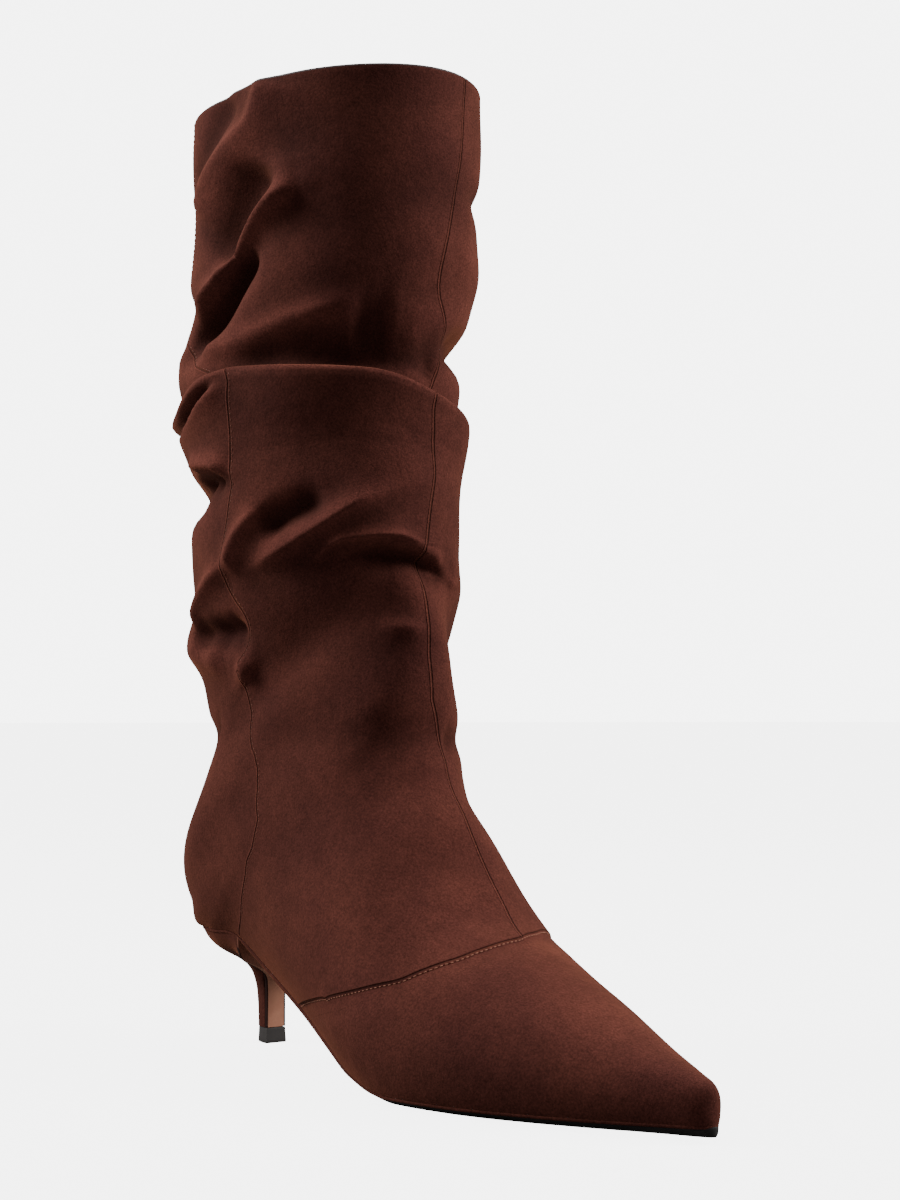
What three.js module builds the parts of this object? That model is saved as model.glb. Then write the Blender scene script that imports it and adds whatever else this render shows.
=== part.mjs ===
// A tall slouch boot with a pointed toe and a kitten heel, for the right foot.
// Millimetres. +X points to the toe, +Y to the inner (medial) side, +Z up, and the floor is z = 0.
// The origin is the middle of the heel's top piece, where it meets the floor.
import * as THREE from 'three';
import { mergeVertices } from 'three/addons/utils/BufferGeometryUtils.js';

// Driving dimensions.
const shoeLength = 286;
const ballWidth = 89;
const heelHeight = 49;
const seatLength = 48;
const toeSpring = 2;
const instepHeight = 104;
const soleThickness = 2.4;
const soleRound = 1;
const insoleThickness = 2.4;
const wall = 1.8;
const clearance = 0.3;
const shaftHeight = 372;
const shaftDepth = 136;
const shaftWidth = 98;
const heelSetback = 23.5;
const topPieceHeight = 6;
const topPieceWidth = 9.2;
const topPieceDepth = 11.6;
const breastThickness = 1.2;
const soleMargin = 0.8;
const seamDepth = 0.8;
const lipSize = 5.2;

// The rows of a table as objects with the columns' names.
function table(columns, rows) {
  return rows.map((row) => Object.fromEntries(columns.map((name, i) => [name, row[i]])));
}

// Sections from the toe tip to the back of the heel. seat and fore: place of the sole edge from the
// heel's back, as shares of seatLength and of the length ahead of it. lift and spring: shares of
// heelHeight and toeSpring. inner, outer: half widths of the sole edge, and innerBulge, outerBulge:
// those of the widest level, as shares of ballWidth. ridgeX, ridgeZ: the front line, as shares of
// shoeLength and instepHeight. level: the widest level's share of the section's height.
const footSections = table(
  ['name', 'seat', 'fore', 'lift', 'spring', 'inner', 'outer', 'ridgeX', 'ridgeZ',
    'innerBulge', 'outerBulge', 'level'],
  [
    ['toe tip', 1, 1.0, 0, 1.0, 0, 0, 1.0, 0.125, 0, 0, 0.4],
    ['toe end', 1, 0.986, 0, 0.95, 0.05, 0.055, 0.992, 0.175, 0.058, 0.064, 0.4],
    ['toe', 1, 0.945, 0, 0.8, 0.09, 0.115, 0.958, 0.21, 0.105, 0.13, 0.38],
    ['toe box', 1, 0.87, 0, 0.5, 0.16, 0.215, 0.893, 0.268, 0.185, 0.24, 0.35],
    ['vamp', 1, 0.757, 0, 0.2, 0.265, 0.355, 0.805, 0.37, 0.275, 0.385, 0.32],
    ['fore ball', 1, 0.643, 0, 0, 0.37, 0.465, 0.713, 0.463, 0.37, 0.505, 0.3],
    ['ball', 1, 0.53, 0, 0, 0.445, 0.525, 0.624, 0.575, 0.455, 0.565, 0.28],
    ['rear ball', 1, 0.426, 0.07, 0, 0.44, 0.49, 0.565, 0.725, 0.46, 0.56, 0.28],
    ['waist', 1, 0.313, 0.218, 0, 0.375, 0.405, 0.523, 0.9, 0.43, 0.52, 0.3],
    ['arch', 1, 0.2, 0.42, 0, 0.31, 0.345, 0.482, 1.04, 0.405, 0.48, 0.32],
    ['shank', 1, 0.096, 0.648, 0, 0.315, 0.33, 0.466, 1.17, 0.42, 0.45, 0.33],
    ['heel breast', 1, 0, 0.87, 0, 0.325, 0.335, 0.472, 1.28, 0.43, 0.435, 0.33],
    ['seat', 0.62, 0, 0.885, 0, 0.33, 0.34, 0.475, 1.38, 0.435, 0.435, 0.325],
    ['heel round', 0.29, 0, 0.885, 0, 0.285, 0.285, 0.474, 1.46, 0.435, 0.435, 0.315],
    ['heel end', 0.08, 0, 0.885, 0, 0.17, 0.17, 0.473, 1.53, 0.435, 0.435, 0.305],
    ['heel back', 0, 0, 0.885, 0, 0, 0, 0.471, 1.59, 0.43, 0.435, 0.3],
  ],
);

// Sections from the heel back up to the collar. frontX, backX: shares of shaftDepth, from the heel back.
// frontZ, backZ: shares of shaftHeight. inner, outer: half widths as shares of shaftWidth.
const shaftSections = table(
  ['name', 'frontX', 'frontZ', 'backX', 'backZ', 'inner', 'outer', 'level'],
  [
    ['counter', 0.972, 0.465, -0.135, 0.155, 0.38, 0.415, 0.33],
    ['upper counter', 0.98, 0.485, -0.04, 0.22, 0.42, 0.335, 0.38],
    ['ankle', 0.978, 0.51, 0.06, 0.285, 0.455, 0.372, 0.43],
    ['above ankle', 0.965, 0.545, 0.03, 0.38, 0.445, 0.445, 0.47],
    ['lower shaft', 0.95, 0.61, -0.005, 0.51, 0.475, 0.49, 0.5],
    ['fold', 0.95, 0.7, -0.03, 0.67, 0.5, 0.5, 0.5],
    ['upper shaft', 1.0, 0.82, -0.018, 0.82, 0.51, 0.49, 0.5],
    ['collar', 1.035, 0.993, -0.005, 0.985, 0.505, 0.5, 0.5],
  ],
);

// The smooth curve through a list, one unit of parameter for each value. The ends are open, or
// mirrored: 'even' leaves the end flat, 'odd' takes it straight through zero.
function smooth(values, start = 'open', end = 'open') {
  const ghost = (a, b, mode) => (mode === 'even' ? b : mode === 'odd' ? -b : 2 * a - b);
  const all = [ghost(values[0], values[1], start), ...values, ghost(values.at(-1), values.at(-2), end)];
  return (u) => {
    const i = Math.min(Math.max(Math.floor(u), 0), values.length - 2);
    const t = u - i;
    const [p0, p1, p2, p3] = all.slice(i, i + 4);
    const m1 = (p2 - p0) / 2;
    const m2 = (p3 - p1) / 2;
    const t2 = t * t;
    const t3 = t2 * t;
    return (2 * t3 - 3 * t2 + 1) * p1 + (t3 - 2 * t2 + t) * m1 + (3 * t2 - 2 * t3) * p2 + (t3 - t2) * m2;
  };
}

const heelBack = footSections.length - 1;
const collar = heelBack + shaftSections.length;
const foreLength = shoeLength - seatLength;
const edgeBase = soleRound + soleThickness + clearance;

const lifts = footSections.map((s) => s.lift * heelHeight + s.spring * toeSpring);
const liftCurve = smooth(lifts, 'even', 'even');
const soleLift = (u) => edgeBase + Math.max(0, liftCurve(u));

// The sole edge, from the toe tip (u = 0) to the back of the heel (u = heelBack).
const soleEdge = {
  x: smooth(footSections.map((s) => s.seat * seatLength + s.fore * foreLength), 'even', 'even'),
  z: soleLift,
  inner: smooth(footSections.map((s) => s.inner * ballWidth), 'odd', 'odd'),
  outer: smooth(footSections.map((s) => s.outer * ballWidth), 'odd', 'odd'),
};

const both = (foot, shaft) => [...footSections.map(foot), ...shaftSections.map(shaft)];
const ridge = {
  x: smooth(both((s) => s.ridgeX * shoeLength, (s) => s.frontX * shaftDepth), 'even'),
  z: smooth(both((s) => s.ridgeZ * instepHeight, (s) => s.frontZ * shaftHeight), 'open'),
};
const widest = {
  inner: smooth(both((s) => s.innerBulge * ballWidth, (s) => s.inner * shaftWidth), 'odd'),
  outer: smooth(both((s) => s.outerBulge * ballWidth, (s) => s.outer * shaftWidth), 'odd'),
  level: smooth(both((s) => s.level, (s) => s.level)),
};
const backLine = {
  x: smooth([soleEdge.x(heelBack), ...shaftSections.map((s) => s.backX * shaftDepth)]),
  z: smooth([soleEdge.z(heelBack), ...shaftSections.map((s) => s.backZ * shaftHeight)]),
};

// A point of the unfolded upper. u runs from the toe tip to the collar, and v from the sole edge or
// back line on the outer side (-1), over the front line (0), to the inner side (1).
function lastPoint(u, v) {
  const side = v < 0 ? 'outer' : 'inner';
  const inShaft = u >= heelBack;
  const baseX = inShaft ? backLine.x(u - heelBack) : soleEdge.x(u);
  const baseZ = inShaft ? backLine.z(u - heelBack) : soleEdge.z(u);
  const edge = inShaft ? 0 : Math.max(0, soleEdge[side](u));
  const bulge = widest[side](u);
  const level = widest.level(u);
  const t = Math.abs(v);
  const top = t < 0.5;
  const a = (top ? t : t - 0.5) * Math.PI;
  // Below the widest level the section is round at the heel and on the leg, and steep along the sole.
  const steep = Math.min(edge / (0.12 * ballWidth), 1) * Math.min(Math.max((heelBack - 2 - u) / 2, 0), 1);
  const low = 2 * t - 1;
  const lowHeight = (1 - Math.sin(a)) * (1 - steep) + (1 - low) * steep;
  const lowWidth = Math.cos(a) * (1 - steep) + (1 - low * low) * steep;
  const h = top ? level + (1 - level) * Math.cos(a) : level * lowHeight;
  const y = top ? bulge * Math.sin(a) : edge + (bulge - edge) * lowWidth;
  return new THREE.Vector3(
    baseX + (ridge.x(u) - baseX) * h,
    v < 0 ? -y : y,
    baseZ + (ridge.z(u) - baseZ) * h,
  );
}

// Folds of the leather, above the foot. path: points of the fold's line, each a share of the half girth
// (as v above) and a share of shaftHeight. rise: the share of shaftWidth by which the leather stands out
// (or sinks, if negative). above and below: how far the fold reaches up and down, as shares of shaftHeight.
const folds = table(
  ['name', 'path', 'rise', 'above', 'below'],
  [
    ['collar fold', [[-0.39, 0.985], [-0.49, 0.935], [-0.65, 0.865]], 0.025, 0.02, 0.03],
    ['back hollow', [[-0.44, 0.91], [-0.47, 0.85]], -0.035, 0.03, 0.03],
    ['slanting ridge', [[-0.33, 0.878], [-0.46, 0.835], [-0.57, 0.775], [-0.72, 0.735]], 0.04, 0.018, 0.012],
    ['slanting hollow', [[-0.41, 0.82], [-0.5, 0.77], [-0.6, 0.745]], -0.03, 0.02, 0.02],
    ['back notch', [[-0.68, 0.787], [-0.86, 0.78]], -0.05, 0.018, 0.018],
    ['back swell', [[-0.56, 0.715], [-0.9, 0.712]], 0.042, 0.04, 0.025],
    ['upper tongue', [[-0.5, 0.69], [-0.64, 0.672], [-0.78, 0.662]], 0.042, 0.012, 0.012],
    ['tongue tip', [[-0.7, 0.668], [-0.84, 0.662]], 0.036, 0.016, 0.01],
    ['low back notch', [[-0.6, 0.584], [-0.85, 0.58]], -0.1, 0.026, 0.018],
    ['front notch', [[0.06, 0.724], [0.38, 0.724]], -0.085, 0.02, 0.018],
    ['front dimple', [[0.14, 0.88], [0.34, 0.875]], -0.03, 0.016, 0.016],
    ['long crease', [[-0.42, 0.498], [-0.3, 0.528], [-0.1, 0.575]], 0.03, 0.016, 0.016],
    ['crease hollow', [[-0.38, 0.555], [-0.24, 0.568]], -0.03, 0.016, 0.016],
    ['front arc', [[-0.24, 0.524], [-0.1, 0.535], [0.1, 0.522]], 0.03, 0.016, 0.012],
    ['arc hollow', [[-0.22, 0.5], [0.06, 0.498]], -0.035, 0.014, 0.025],
    ['low swell', [[-0.54, 0.42], [-0.85, 0.425]], 0.05, 0.03, 0.022],
    ['ankle notch', [[-0.58, 0.335], [-0.85, 0.325]], -0.035, 0.016, 0.03],
    ['front ankle notch', [[0.06, 0.325], [0.3, 0.325]], -0.03, 0.016, 0.016],
    ['inner ridge', [[0.3, 0.86], [0.5, 0.8], [0.8, 0.79]], 0.035, 0.022, 0.022],
    ['inner hollow', [[0.35, 0.6], [0.6, 0.575], [0.85, 0.585]], -0.04, 0.025, 0.02],
    ['inner swell', [[0.4, 0.5], [0.8, 0.52]], 0.035, 0.025, 0.025],
    ['inner crease', [[0.2, 0.4], [0.5, 0.37], [0.8, 0.4]], -0.03, 0.02, 0.02],
  ],
);

// The seam where the toe piece meets the shaft, and the lip where the lower shaft rolls over the upper
// one. Each has its row (as u above) at shares of the half girth, v.
const vampSeam = table(
  ['v', 'row'],
  [
    [-1, 9.0], [-0.8, 8.42], [-0.67, 8.05], [-0.55, 7.74], [-0.49, 7.42], [-0.41, 6.76], [-0.31, 6.02],
    [-0.17, 5.6], [0, 5.6], [0.1, 5.82], [0.22, 6.25], [0.33, 6.65], [0.44, 7.3], [0.65, 8.3], [1, 9.2],
  ],
);
const lipLine = table(
  ['v', 'row', 'roll'],
  [
    [-1, 21.06, 0], [-0.6, 21.06, 0], [-0.46, 21.15, 0.9], [-0.28, 21.05, 1], [-0.08, 20.95, 1],
    [0.01, 20.8, 1], [0.12, 20.66, 0.9], [0.25, 20.56, 0.55], [0.45, 20.56, 0.15], [0.6, 20.66, 0],
    [1, 21.06, 0],
  ],
);

// The lip's section, in shares of lipSize: along the unfolded shaft from the lip's line, and where that
// point goes, outward and upward from the line.
const lipSection = table(
  ['name', 'along', 'out', 'up'],
  [
    ['under the roll', -4.2, 0.35, -4.2],
    ['below', -2.4, 0.62, -2.3],
    ['front', -1.2, 0.8, -1.0],
    ['front edge', -0.75, 0.8, -0.38],
    ['upper edge', -0.5, 0.64, -0.04],
    ['crest', -0.3, 0.3, 0.1],
    ['rear edge', -0.15, -0.04, -0.04],
    ['rear', 0, -0.2, -0.4],
    ['pocket side', 0.15, -0.22, -0.75],
    ['pocket', 0.3, -0.46, -0.98],
    ['inner side', 0.5, -0.7, -0.75],
    ['inner face', 0.9, -0.72, 0.0],
    ['above', 1.7, -0.68, 1.1],
    ['upper shaft', 3.2, -0.35, 3.0],
  ],
);

// A column of a table as a function of one of its other columns, with smooth steps between the rows.
function column(rows, from, name) {
  return (value) => {
    const next = rows.findIndex((r) => r[from] >= value);
    if (next <= 0) return next < 0 ? rows.at(-1)[name] : rows[0][name];
    const t = (value - rows[next - 1][from]) / (rows[next][from] - rows[next - 1][from]);
    return rows[next - 1][name] + (rows[next][name] - rows[next - 1][name]) * t;
  };
}

const seamRow = column(vampSeam, 'v', 'row');
const lipRow = column(lipLine, 'v', 'row');
const lipRoll = column(lipLine, 'v', 'roll');
const seamPlace = 6.5;
const lipPlace = 21.1;
const rowPitch = 0.155 * shaftHeight;
const halfGirth = 1.33 * shaftDepth;

// The row of a ring at v: rings run even between the toe, the vamp seam, the heel back, the lip and
// the collar.
function rowOf(place, v) {
  const places = [0, seamPlace, heelBack, lipPlace, collar];
  const rows = [0, seamRow(v), heelBack, lipRow(v), collar];
  const next = Math.max(1, places.findIndex((p) => p >= place));
  const t = (place - places[next - 1]) / (places[next] - places[next - 1]);
  return rows[next - 1] + (rows[next] - rows[next - 1]) * t;
}

// Outward direction of the unfolded upper.
function outward(u, v) {
  const du = 0.02;
  const dv = 0.004;
  const low = Math.max(u - du, 0);
  const high = Math.min(u + du, collar);
  const along = lastPoint(high, v).sub(lastPoint(low, v));
  const wrap = (share) => {
    if (Math.abs(share) <= 1) return share;
    return u < heelBack ? Math.sign(share) : share - 2 * Math.sign(share);
  };
  const around = lastPoint(u, wrap(v + dv)).sub(lastPoint(u, wrap(v - dv)));
  return around.cross(along).normalize();
}

// How far the folds lift the leather at v and the height z. A fold near the back reaches round it.
function foldRise(share, z) {
  let sum = 0;
  for (const fold of folds) {
    let best = 0;
    const middle = (fold.path[0][0] + fold.path.at(-1)[0]) / 2;
    const v = share - 2 * Math.round((share - middle) / 2);
    for (let i = 1; i < fold.path.length; i += 1) {
      const [a, b] = [fold.path[i - 1], fold.path[i]];
      const ax = (v - a[0]) * halfGirth;
      const ay = z - a[1] * shaftHeight;
      const bx = (b[0] - a[0]) * halfGirth;
      const by = (b[1] - a[1]) * shaftHeight;
      const t = Math.min(Math.max((ax * bx + ay * by) / (bx * bx + by * by), 0), 1);
      const dx = ax - t * bx;
      const dy = ay - t * by;
      const reach = (dy > 0 ? fold.above : fold.below) * shaftHeight;
      best = Math.max(best, Math.exp(-((dx * dx) / (0.04 * shaftHeight) ** 2 + (dy * dy) / reach ** 2)));
    }
    sum += fold.rise * best;
  }
  return sum * shaftWidth;
}

// A point of the upper's outer face: the unfolded upper, lifted by the folds, with the step at the vamp
// seam and the rolled lip.
function upperPoint(ring, v) {
  const u = rowOf(ring.place, v);
  const point = lastPoint(u, v);
  const out = outward(u, v);
  const fade = Math.min(Math.max((point.z / shaftHeight - 0.26) / 0.1, 0), 1);
  point.addScaledVector(out, foldRise(v, point.z) * fade);
  const rimShare = Math.min(1, (1 - Math.abs(v)) / 0.15);
  if (ring.step) point.addScaledVector(out, -seamDepth * ring.step * rimShare);
  if (ring.lip) {
    const flat = new THREE.Vector3(out.x, out.y, 0).normalize();
    const roll = lipRoll(v) * lipSize;
    point.addScaledVector(flat, ring.lip.out * roll);
    point.z += (ring.lip.up - ring.lip.along) * roll;
  }
  return point;
}

// The rings of the upper, from the toe tip to the collar.
const rings = [];
for (let i = 0; i < 12; i += 1) rings.push({ place: (i * seamPlace) / 12 });
rings.push({ place: seamPlace - 0.25, step: 0.5 });
rings.push({ place: seamPlace - 0.06, step: 1 });
rings.push({ place: seamPlace });
for (let i = 1; i < 12; i += 1) rings.push({ place: seamPlace + ((12 - seamPlace) * i) / 11 });
for (let place = 13; place < 18.1; place += 0.5) rings.push({ place });
for (const place of [18.35, 18.7, 19.05, 19.4, 19.7, 20, 20.3]) rings.push({ place });
for (const lip of lipSection) rings.push({ place: lipPlace + (lip.along * lipSize) / rowPitch, lip });
for (let i = 3; i <= 10; i += 1) rings.push({ place: 21 + i / 5 });

// Collects the triangles of one closed body. Faces run anticlockwise seen from outside.
class Shell {
  constructor() {
    this.corners = [];
  }

  triangle(a, b, c) {
    if (a.distanceTo(b) < 1e-6 || b.distanceTo(c) < 1e-6 || c.distanceTo(a) < 1e-6) return;
    this.corners.push(...a.toArray(), ...b.toArray(), ...c.toArray());
  }

  quad(a, b, c, d) {
    this.triangle(a, b, c);
    this.triangle(a, c, d);
  }

  // A band between two rows of points of the same length.
  band(low, high, flipped = false) {
    for (let i = 1; i < low.length; i += 1) {
      if (flipped) this.quad(low[i], low[i - 1], high[i - 1], high[i]);
      else this.quad(low[i - 1], low[i], high[i], high[i - 1]);
    }
  }

  mesh(name, material) {
    const geometry = new THREE.BufferGeometry();
    geometry.setAttribute('position', new THREE.Float32BufferAttribute(this.corners, 3));
    const merged = mergeVertices(geometry, 1e-5);
    merged.translate(-heelSetback, 0, 0);
    merged.computeVertexNormals();
    const mesh = new THREE.Mesh(merged, material);
    mesh.name = name;
    return mesh;
  }
}

const breastRow = heelBack - 4;
const halfRing = 17;
const shares = Array.from({ length: 2 * halfRing + 1 }, (_, j) => j / halfRing - 1);
const outerRows = rings.map((ring) => shares.map((v) => upperPoint(ring, v)));

// Rings around the heel back meet from two directions, and are evened out there, except at the rim.
const softFrom = breastRow + 1;
const softTo = heelBack + 3.4;
for (let pass = 0; pass < 6; pass += 1) {
  const before = outerRows.map((row) => row.map((p) => p.clone()));
  for (let i = 1; i < rings.length - 1; i += 1) {
    const { place } = rings[i];
    if (place <= softFrom || place >= softTo) continue;
    for (let j = 0; j < shares.length; j += 1) {
      const rim = place <= heelBack ? Math.min((1 - Math.abs(shares[j])) / 0.25, 1) : 1;
      const fade = Math.min((place - softFrom) / 1.2, (softTo - place) / 1.2, 1) * rim;
      const middle = before[i - 1][j].clone().add(before[i + 1][j]).multiplyScalar(0.5);
      outerRows[i][j].lerp(middle, 0.6 * fade);
    }
  }
}

// Outward directions of the faceted outer face, shared by points that lie together.
function facetNormals(rows) {
  const sums = new Map();
  const key = (p) => p.toArray().map((value) => Math.round(value * 1e4) + 0).join();
  const add = (a, b, c) => {
    const normal = b.clone().sub(a).cross(c.clone().sub(a));
    for (const p of [a, b, c]) {
      if (!sums.has(key(p))) sums.set(key(p), new THREE.Vector3());
      sums.get(key(p)).add(normal);
    }
  };
  for (let i = 1; i < rows.length; i += 1) {
    for (let j = 1; j < shares.length; j += 1) {
      add(rows[i - 1][j - 1], rows[i - 1][j], rows[i][j]);
      add(rows[i - 1][j - 1], rows[i][j], rows[i][j - 1]);
    }
  }
  return rows.map((row) => row.map((p) => sums.get(key(p)).clone().normalize()));
}

const normals = facetNormals(outerRows);
const innerRows = outerRows.map((row, i) => row.map((p, j) => {
  const inward = normals[i][j].clone();
  const atSole = rings[i].place <= heelBack && (j === 0 || j === row.length - 1);
  if (atSole || i === outerRows.length - 1) inward.setZ(0).normalize();
  return p.clone().addScaledVector(inward, -wall);
}));

const upper = new Shell();
for (let i = 1; i < rings.length; i += 1) {
  upper.band(outerRows[i - 1], outerRows[i]);
  upper.band(innerRows[i - 1], innerRows[i], true);
  if (rings[i].place > heelBack) continue;
  const last = shares.length - 1;
  upper.quad(outerRows[i - 1][0], outerRows[i][0], innerRows[i][0], innerRows[i - 1][0]);
  upper.quad(outerRows[i][last], outerRows[i - 1][last], innerRows[i - 1][last], innerRows[i][last]);
}
upper.band(outerRows.at(-1), innerRows.at(-1));

// The sole edge moved inward by a distance, as half widths and a height at each place along the shoe.
function soleOutline(inset) {
  const sides = {};
  for (const side of ['outer', 'inner']) {
    const points = [];
    for (let i = 0; i <= 150; i += 1) {
      const u = (heelBack * i) / 150;
      const step = 0.01;
      const [a, b] = [Math.max(u - step, 0), Math.min(u + step, heelBack)];
      const dx = soleEdge.x(b) - soleEdge.x(a);
      const dy = soleEdge[side](b) - soleEdge[side](a);
      const length = Math.hypot(dx, dy);
      const x = soleEdge.x(u) - (dy / length) * inset;
      points.push({ x, y: soleEdge[side](u) + (dx / length) * inset });
    }
    sides[side] = points.filter((p) => p.y >= 0).sort((a, b) => a.x - b.x);
  }
  const heights = Array.from({ length: 151 }, (_, i) => (heelBack * i) / 150)
    .map((u) => ({ x: soleEdge.x(u), z: soleEdge.z(u) })).sort((a, b) => a.x - b.x);
  return {
    outer: column(sides.outer, 'x', 'y'),
    inner: column(sides.inner, 'x', 'y'),
    z: column(heights, 'x', 'z'),
    front: Math.min(sides.outer.at(-1).x, sides.inner.at(-1).x),
    back: Math.max(sides.outer[0].x, sides.inner[0].x),
  };
}

// A plate under the foot, between two places along the shoe. Its underside may be rounded at the edges.
function plate(outline, places, top, thickness, round, pointed) {
  const shell = new Shell();
  const stations = places.map((x, i) => {
    const tip = pointed.includes(i);
    const z = outline.z(x) + top;
    const left = tip ? 0 : -outline.outer(x);
    const right = tip ? 0 : outline.inner(x);
    const at = (y, height) => new THREE.Vector3(x, y, height);
    const low = z - thickness;
    const swell = round * Math.min(Math.max(1 - (z - edgeBase) / (0.3 * heelHeight), 0.1), 1);
    const flat = [at(0.55 * right, low - (tip ? 0 : swell)), at(0.55 * left, low - (tip ? 0 : swell))];
    return [at(left, z), at(right, z), at(right, low), ...(round ? flat : []), at(left, low), at(left, z)];
  });
  for (let i = 1; i < stations.length; i += 1) shell.band(stations[i - 1], stations[i], true);
  for (const end of [stations[0], [...stations.at(-1)].reverse()]) {
    for (let i = 2; i < end.length - 1; i += 1) shell.triangle(end[0], end[i - 1], end[i]);
  }
  return shell;
}

// Values from one end to the other, closer together towards the second.
function spaced(from, to, count, power) {
  return Array.from({ length: count + 1 }, (_, i) => from + (to - from) * (1 - (1 - i / count) ** power));
}

const soleBack = seatLength + breastThickness + 2 * clearance;
const soleOutside = soleOutline(-soleMargin);
const solePlaces = spaced(soleBack, shoeLength + soleMargin, 34, 1.5);
const outsole = plate(soleOutside, solePlaces, -clearance, soleThickness, soleRound, [34]);

const insoleInset = wall + 2 * clearance;
const insoleOutside = soleOutline(insoleInset);
const insoleMiddle = 0.5 * shoeLength;
const insolePlaces = [
  ...spaced(insoleMiddle, insoleOutside.back, 20, 2).reverse(),
  ...spaced(insoleMiddle, insoleOutside.front, 20, 1.6).slice(1),
];
const insoleTips = [0, insolePlaces.length - 1];
const insole = plate(insoleOutside, insolePlaces, insoleThickness, insoleThickness, 0, insoleTips);

// The heel's section at shares of its height: how much of the way from the column to the seat it has
// spread, at the back and at the breast.
const heelTaper = table(
  ['height', 'back', 'breast'],
  [
    [0, 0, 0], [0.2, 0.01, 0], [0.38, 0.04, 0], [0.5, 0.1, 0.02],
    [0.58, 0.17, 0.1], [0.64, 0.26, 0.26], [0.7, 0.4, 0.5], [0.76, 0.58, 0.78],
    [0.82, 0.74, 0.93], [0.9, 0.89, 0.99], [1, 1, 1],
  ],
);
const heelColumn = 0.95;
const heelBase = topPieceHeight + clearance;
const columnFront = heelSetback + (topPieceDepth / 2) * heelColumn - breastThickness - clearance;

// Points around the heel, from the outer corner of the breast over the back to the inner corner.
const heelRound = 16;
function heelPoint(row, j) {
  const turn = (Math.PI * j) / heelRound;
  const columnDepth = topPieceDepth * heelColumn - breastThickness - clearance;
  const columnX = columnFront - columnDepth * Math.sin(turn);
  const columnY = -0.5 * topPieceWidth * heelColumn * Math.cos(turn);
  const outer = j <= heelRound / 2;
  const u = breastRow + (heelBack - breastRow) * (1 - Math.abs(1 - (2 * j) / heelRound));
  const seatY = outer ? -soleEdge.outer(u) : soleEdge.inner(u);
  const seatZ = soleEdge.z(u) - clearance;
  const back = Math.sin(turn) ** 0.5;
  const spread = row.back * back + row.breast * (1 - back);
  return new THREE.Vector3(
    columnX + (soleEdge.x(u) - columnX) * spread,
    columnY + (seatY - columnY) * spread,
    heelBase + (seatZ - heelBase) * row.height,
  );
}
const heelSteps = Array.from({ length: heelRound + 1 }, (_, j) => j);
const heelLoops = heelTaper.map((row) => heelSteps.map((j) => heelPoint(row, j)));

// A closed body through loops that each end in a straight edge, capped below and above.
function capped(loops) {
  const shell = new Shell();
  for (let i = 1; i < loops.length; i += 1) {
    const [low, high] = [loops[i - 1], loops[i]];
    shell.band([...low, low[0]], [...high, high[0]], true);
  }
  for (const loop of [loops[0], loops.at(-1)]) {
    const last = loop.length - 1;
    for (let j = 0; j < Math.floor(last / 2); j += 1) {
      const rung = [loop[j], loop[j + 1], loop[last - j - 1], loop[last - j]];
      if (loop === loops[0]) shell.quad(...rung);
      else shell.quad(...rung.reverse());
    }
  }
  return shell;
}
const heel = capped(heelLoops);

// The cover of the breast, as wide as the heel, on the breast's front.
const breastRows = heelLoops.map((loop) => ({
  x: loop[0].x, z: loop[0].z, outer: loop[0].y, inner: loop.at(-1).y,
}));
const breastProfile = (distance) => breastRows.map((row, i) => {
  const [a, b] = [breastRows[Math.max(i - 1, 0)], breastRows[Math.min(i + 1, breastRows.length - 1)]];
  const end = i === 0 || i === breastRows.length - 1;
  const length = Math.hypot(b.x - a.x, b.z - a.z);
  const x = row.x + (end ? 1 : (b.z - a.z) / length) * distance;
  const z = Math.min(row.z - (end ? 0 : (b.x - a.x) / length) * distance, soleOutside.z(x) - clearance);
  return [new THREE.Vector3(x, row.outer, z), new THREE.Vector3(x, row.inner, z)];
});
const breastBack = breastProfile(clearance);
const breastFront = breastProfile(clearance + breastThickness);
const breastLoops = breastRows.map((_, i) => [...breastBack[i], ...[...breastFront[i]].reverse()]);
const breast = new Shell();
for (let i = 1; i < breastLoops.length; i += 1) {
  breast.band([...breastLoops[i - 1], breastLoops[i - 1][0]], [...breastLoops[i], breastLoops[i][0]], true);
}
breast.quad(...breastLoops[0]);
breast.quad(...[...breastLoops.at(-1)].reverse());

// The top piece, slightly wider at the floor.
const topLoop = (grow, z) => heelSteps.map((j) => {
  const turn = (Math.PI * j) / heelRound;
  const x = heelSetback + topPieceDepth * grow * (0.5 - Math.sin(turn));
  return new THREE.Vector3(x, -0.5 * topPieceWidth * grow * Math.cos(turn), z);
});
const topLoops = [[1, 0], [0.97, 0.5], [heelColumn, 1]].map(([grow, share]) => (
  topLoop(grow, share * topPieceHeight)));
const topPiece = capped(topLoops);

// Materials. The suede is brown, the breast tan, the soles and the top piece near black.
const suede = new THREE.MeshStandardMaterial({ color: 0x472119, roughness: 0.95 });
const lining = new THREE.MeshStandardMaterial({ color: 0x8d6150, roughness: 0.7 });
const rubber = new THREE.MeshStandardMaterial({ color: 0x1c1818, roughness: 0.6 });

const group = new THREE.Group();
group.name = 'slouch_boot';
group.add(
  upper.mesh('upper', suede),
  insole.mesh('insole', lining),
  outsole.mesh('outsole', rubber),
  heel.mesh('heel', suede),
  breast.mesh('heel_breast', lining),
  topPiece.mesh('top_piece', rubber),
);
export default group;
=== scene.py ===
"""A slouch boot in brown suede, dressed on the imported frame.

Lengths are in millimetres, and a mesh is turned to metres when it is made. +X points to the toe,
+Y to the inner side and +Z up, with the origin under the middle of the heel's top piece.
"""

import bpy
import numpy as np
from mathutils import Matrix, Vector, noise


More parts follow.
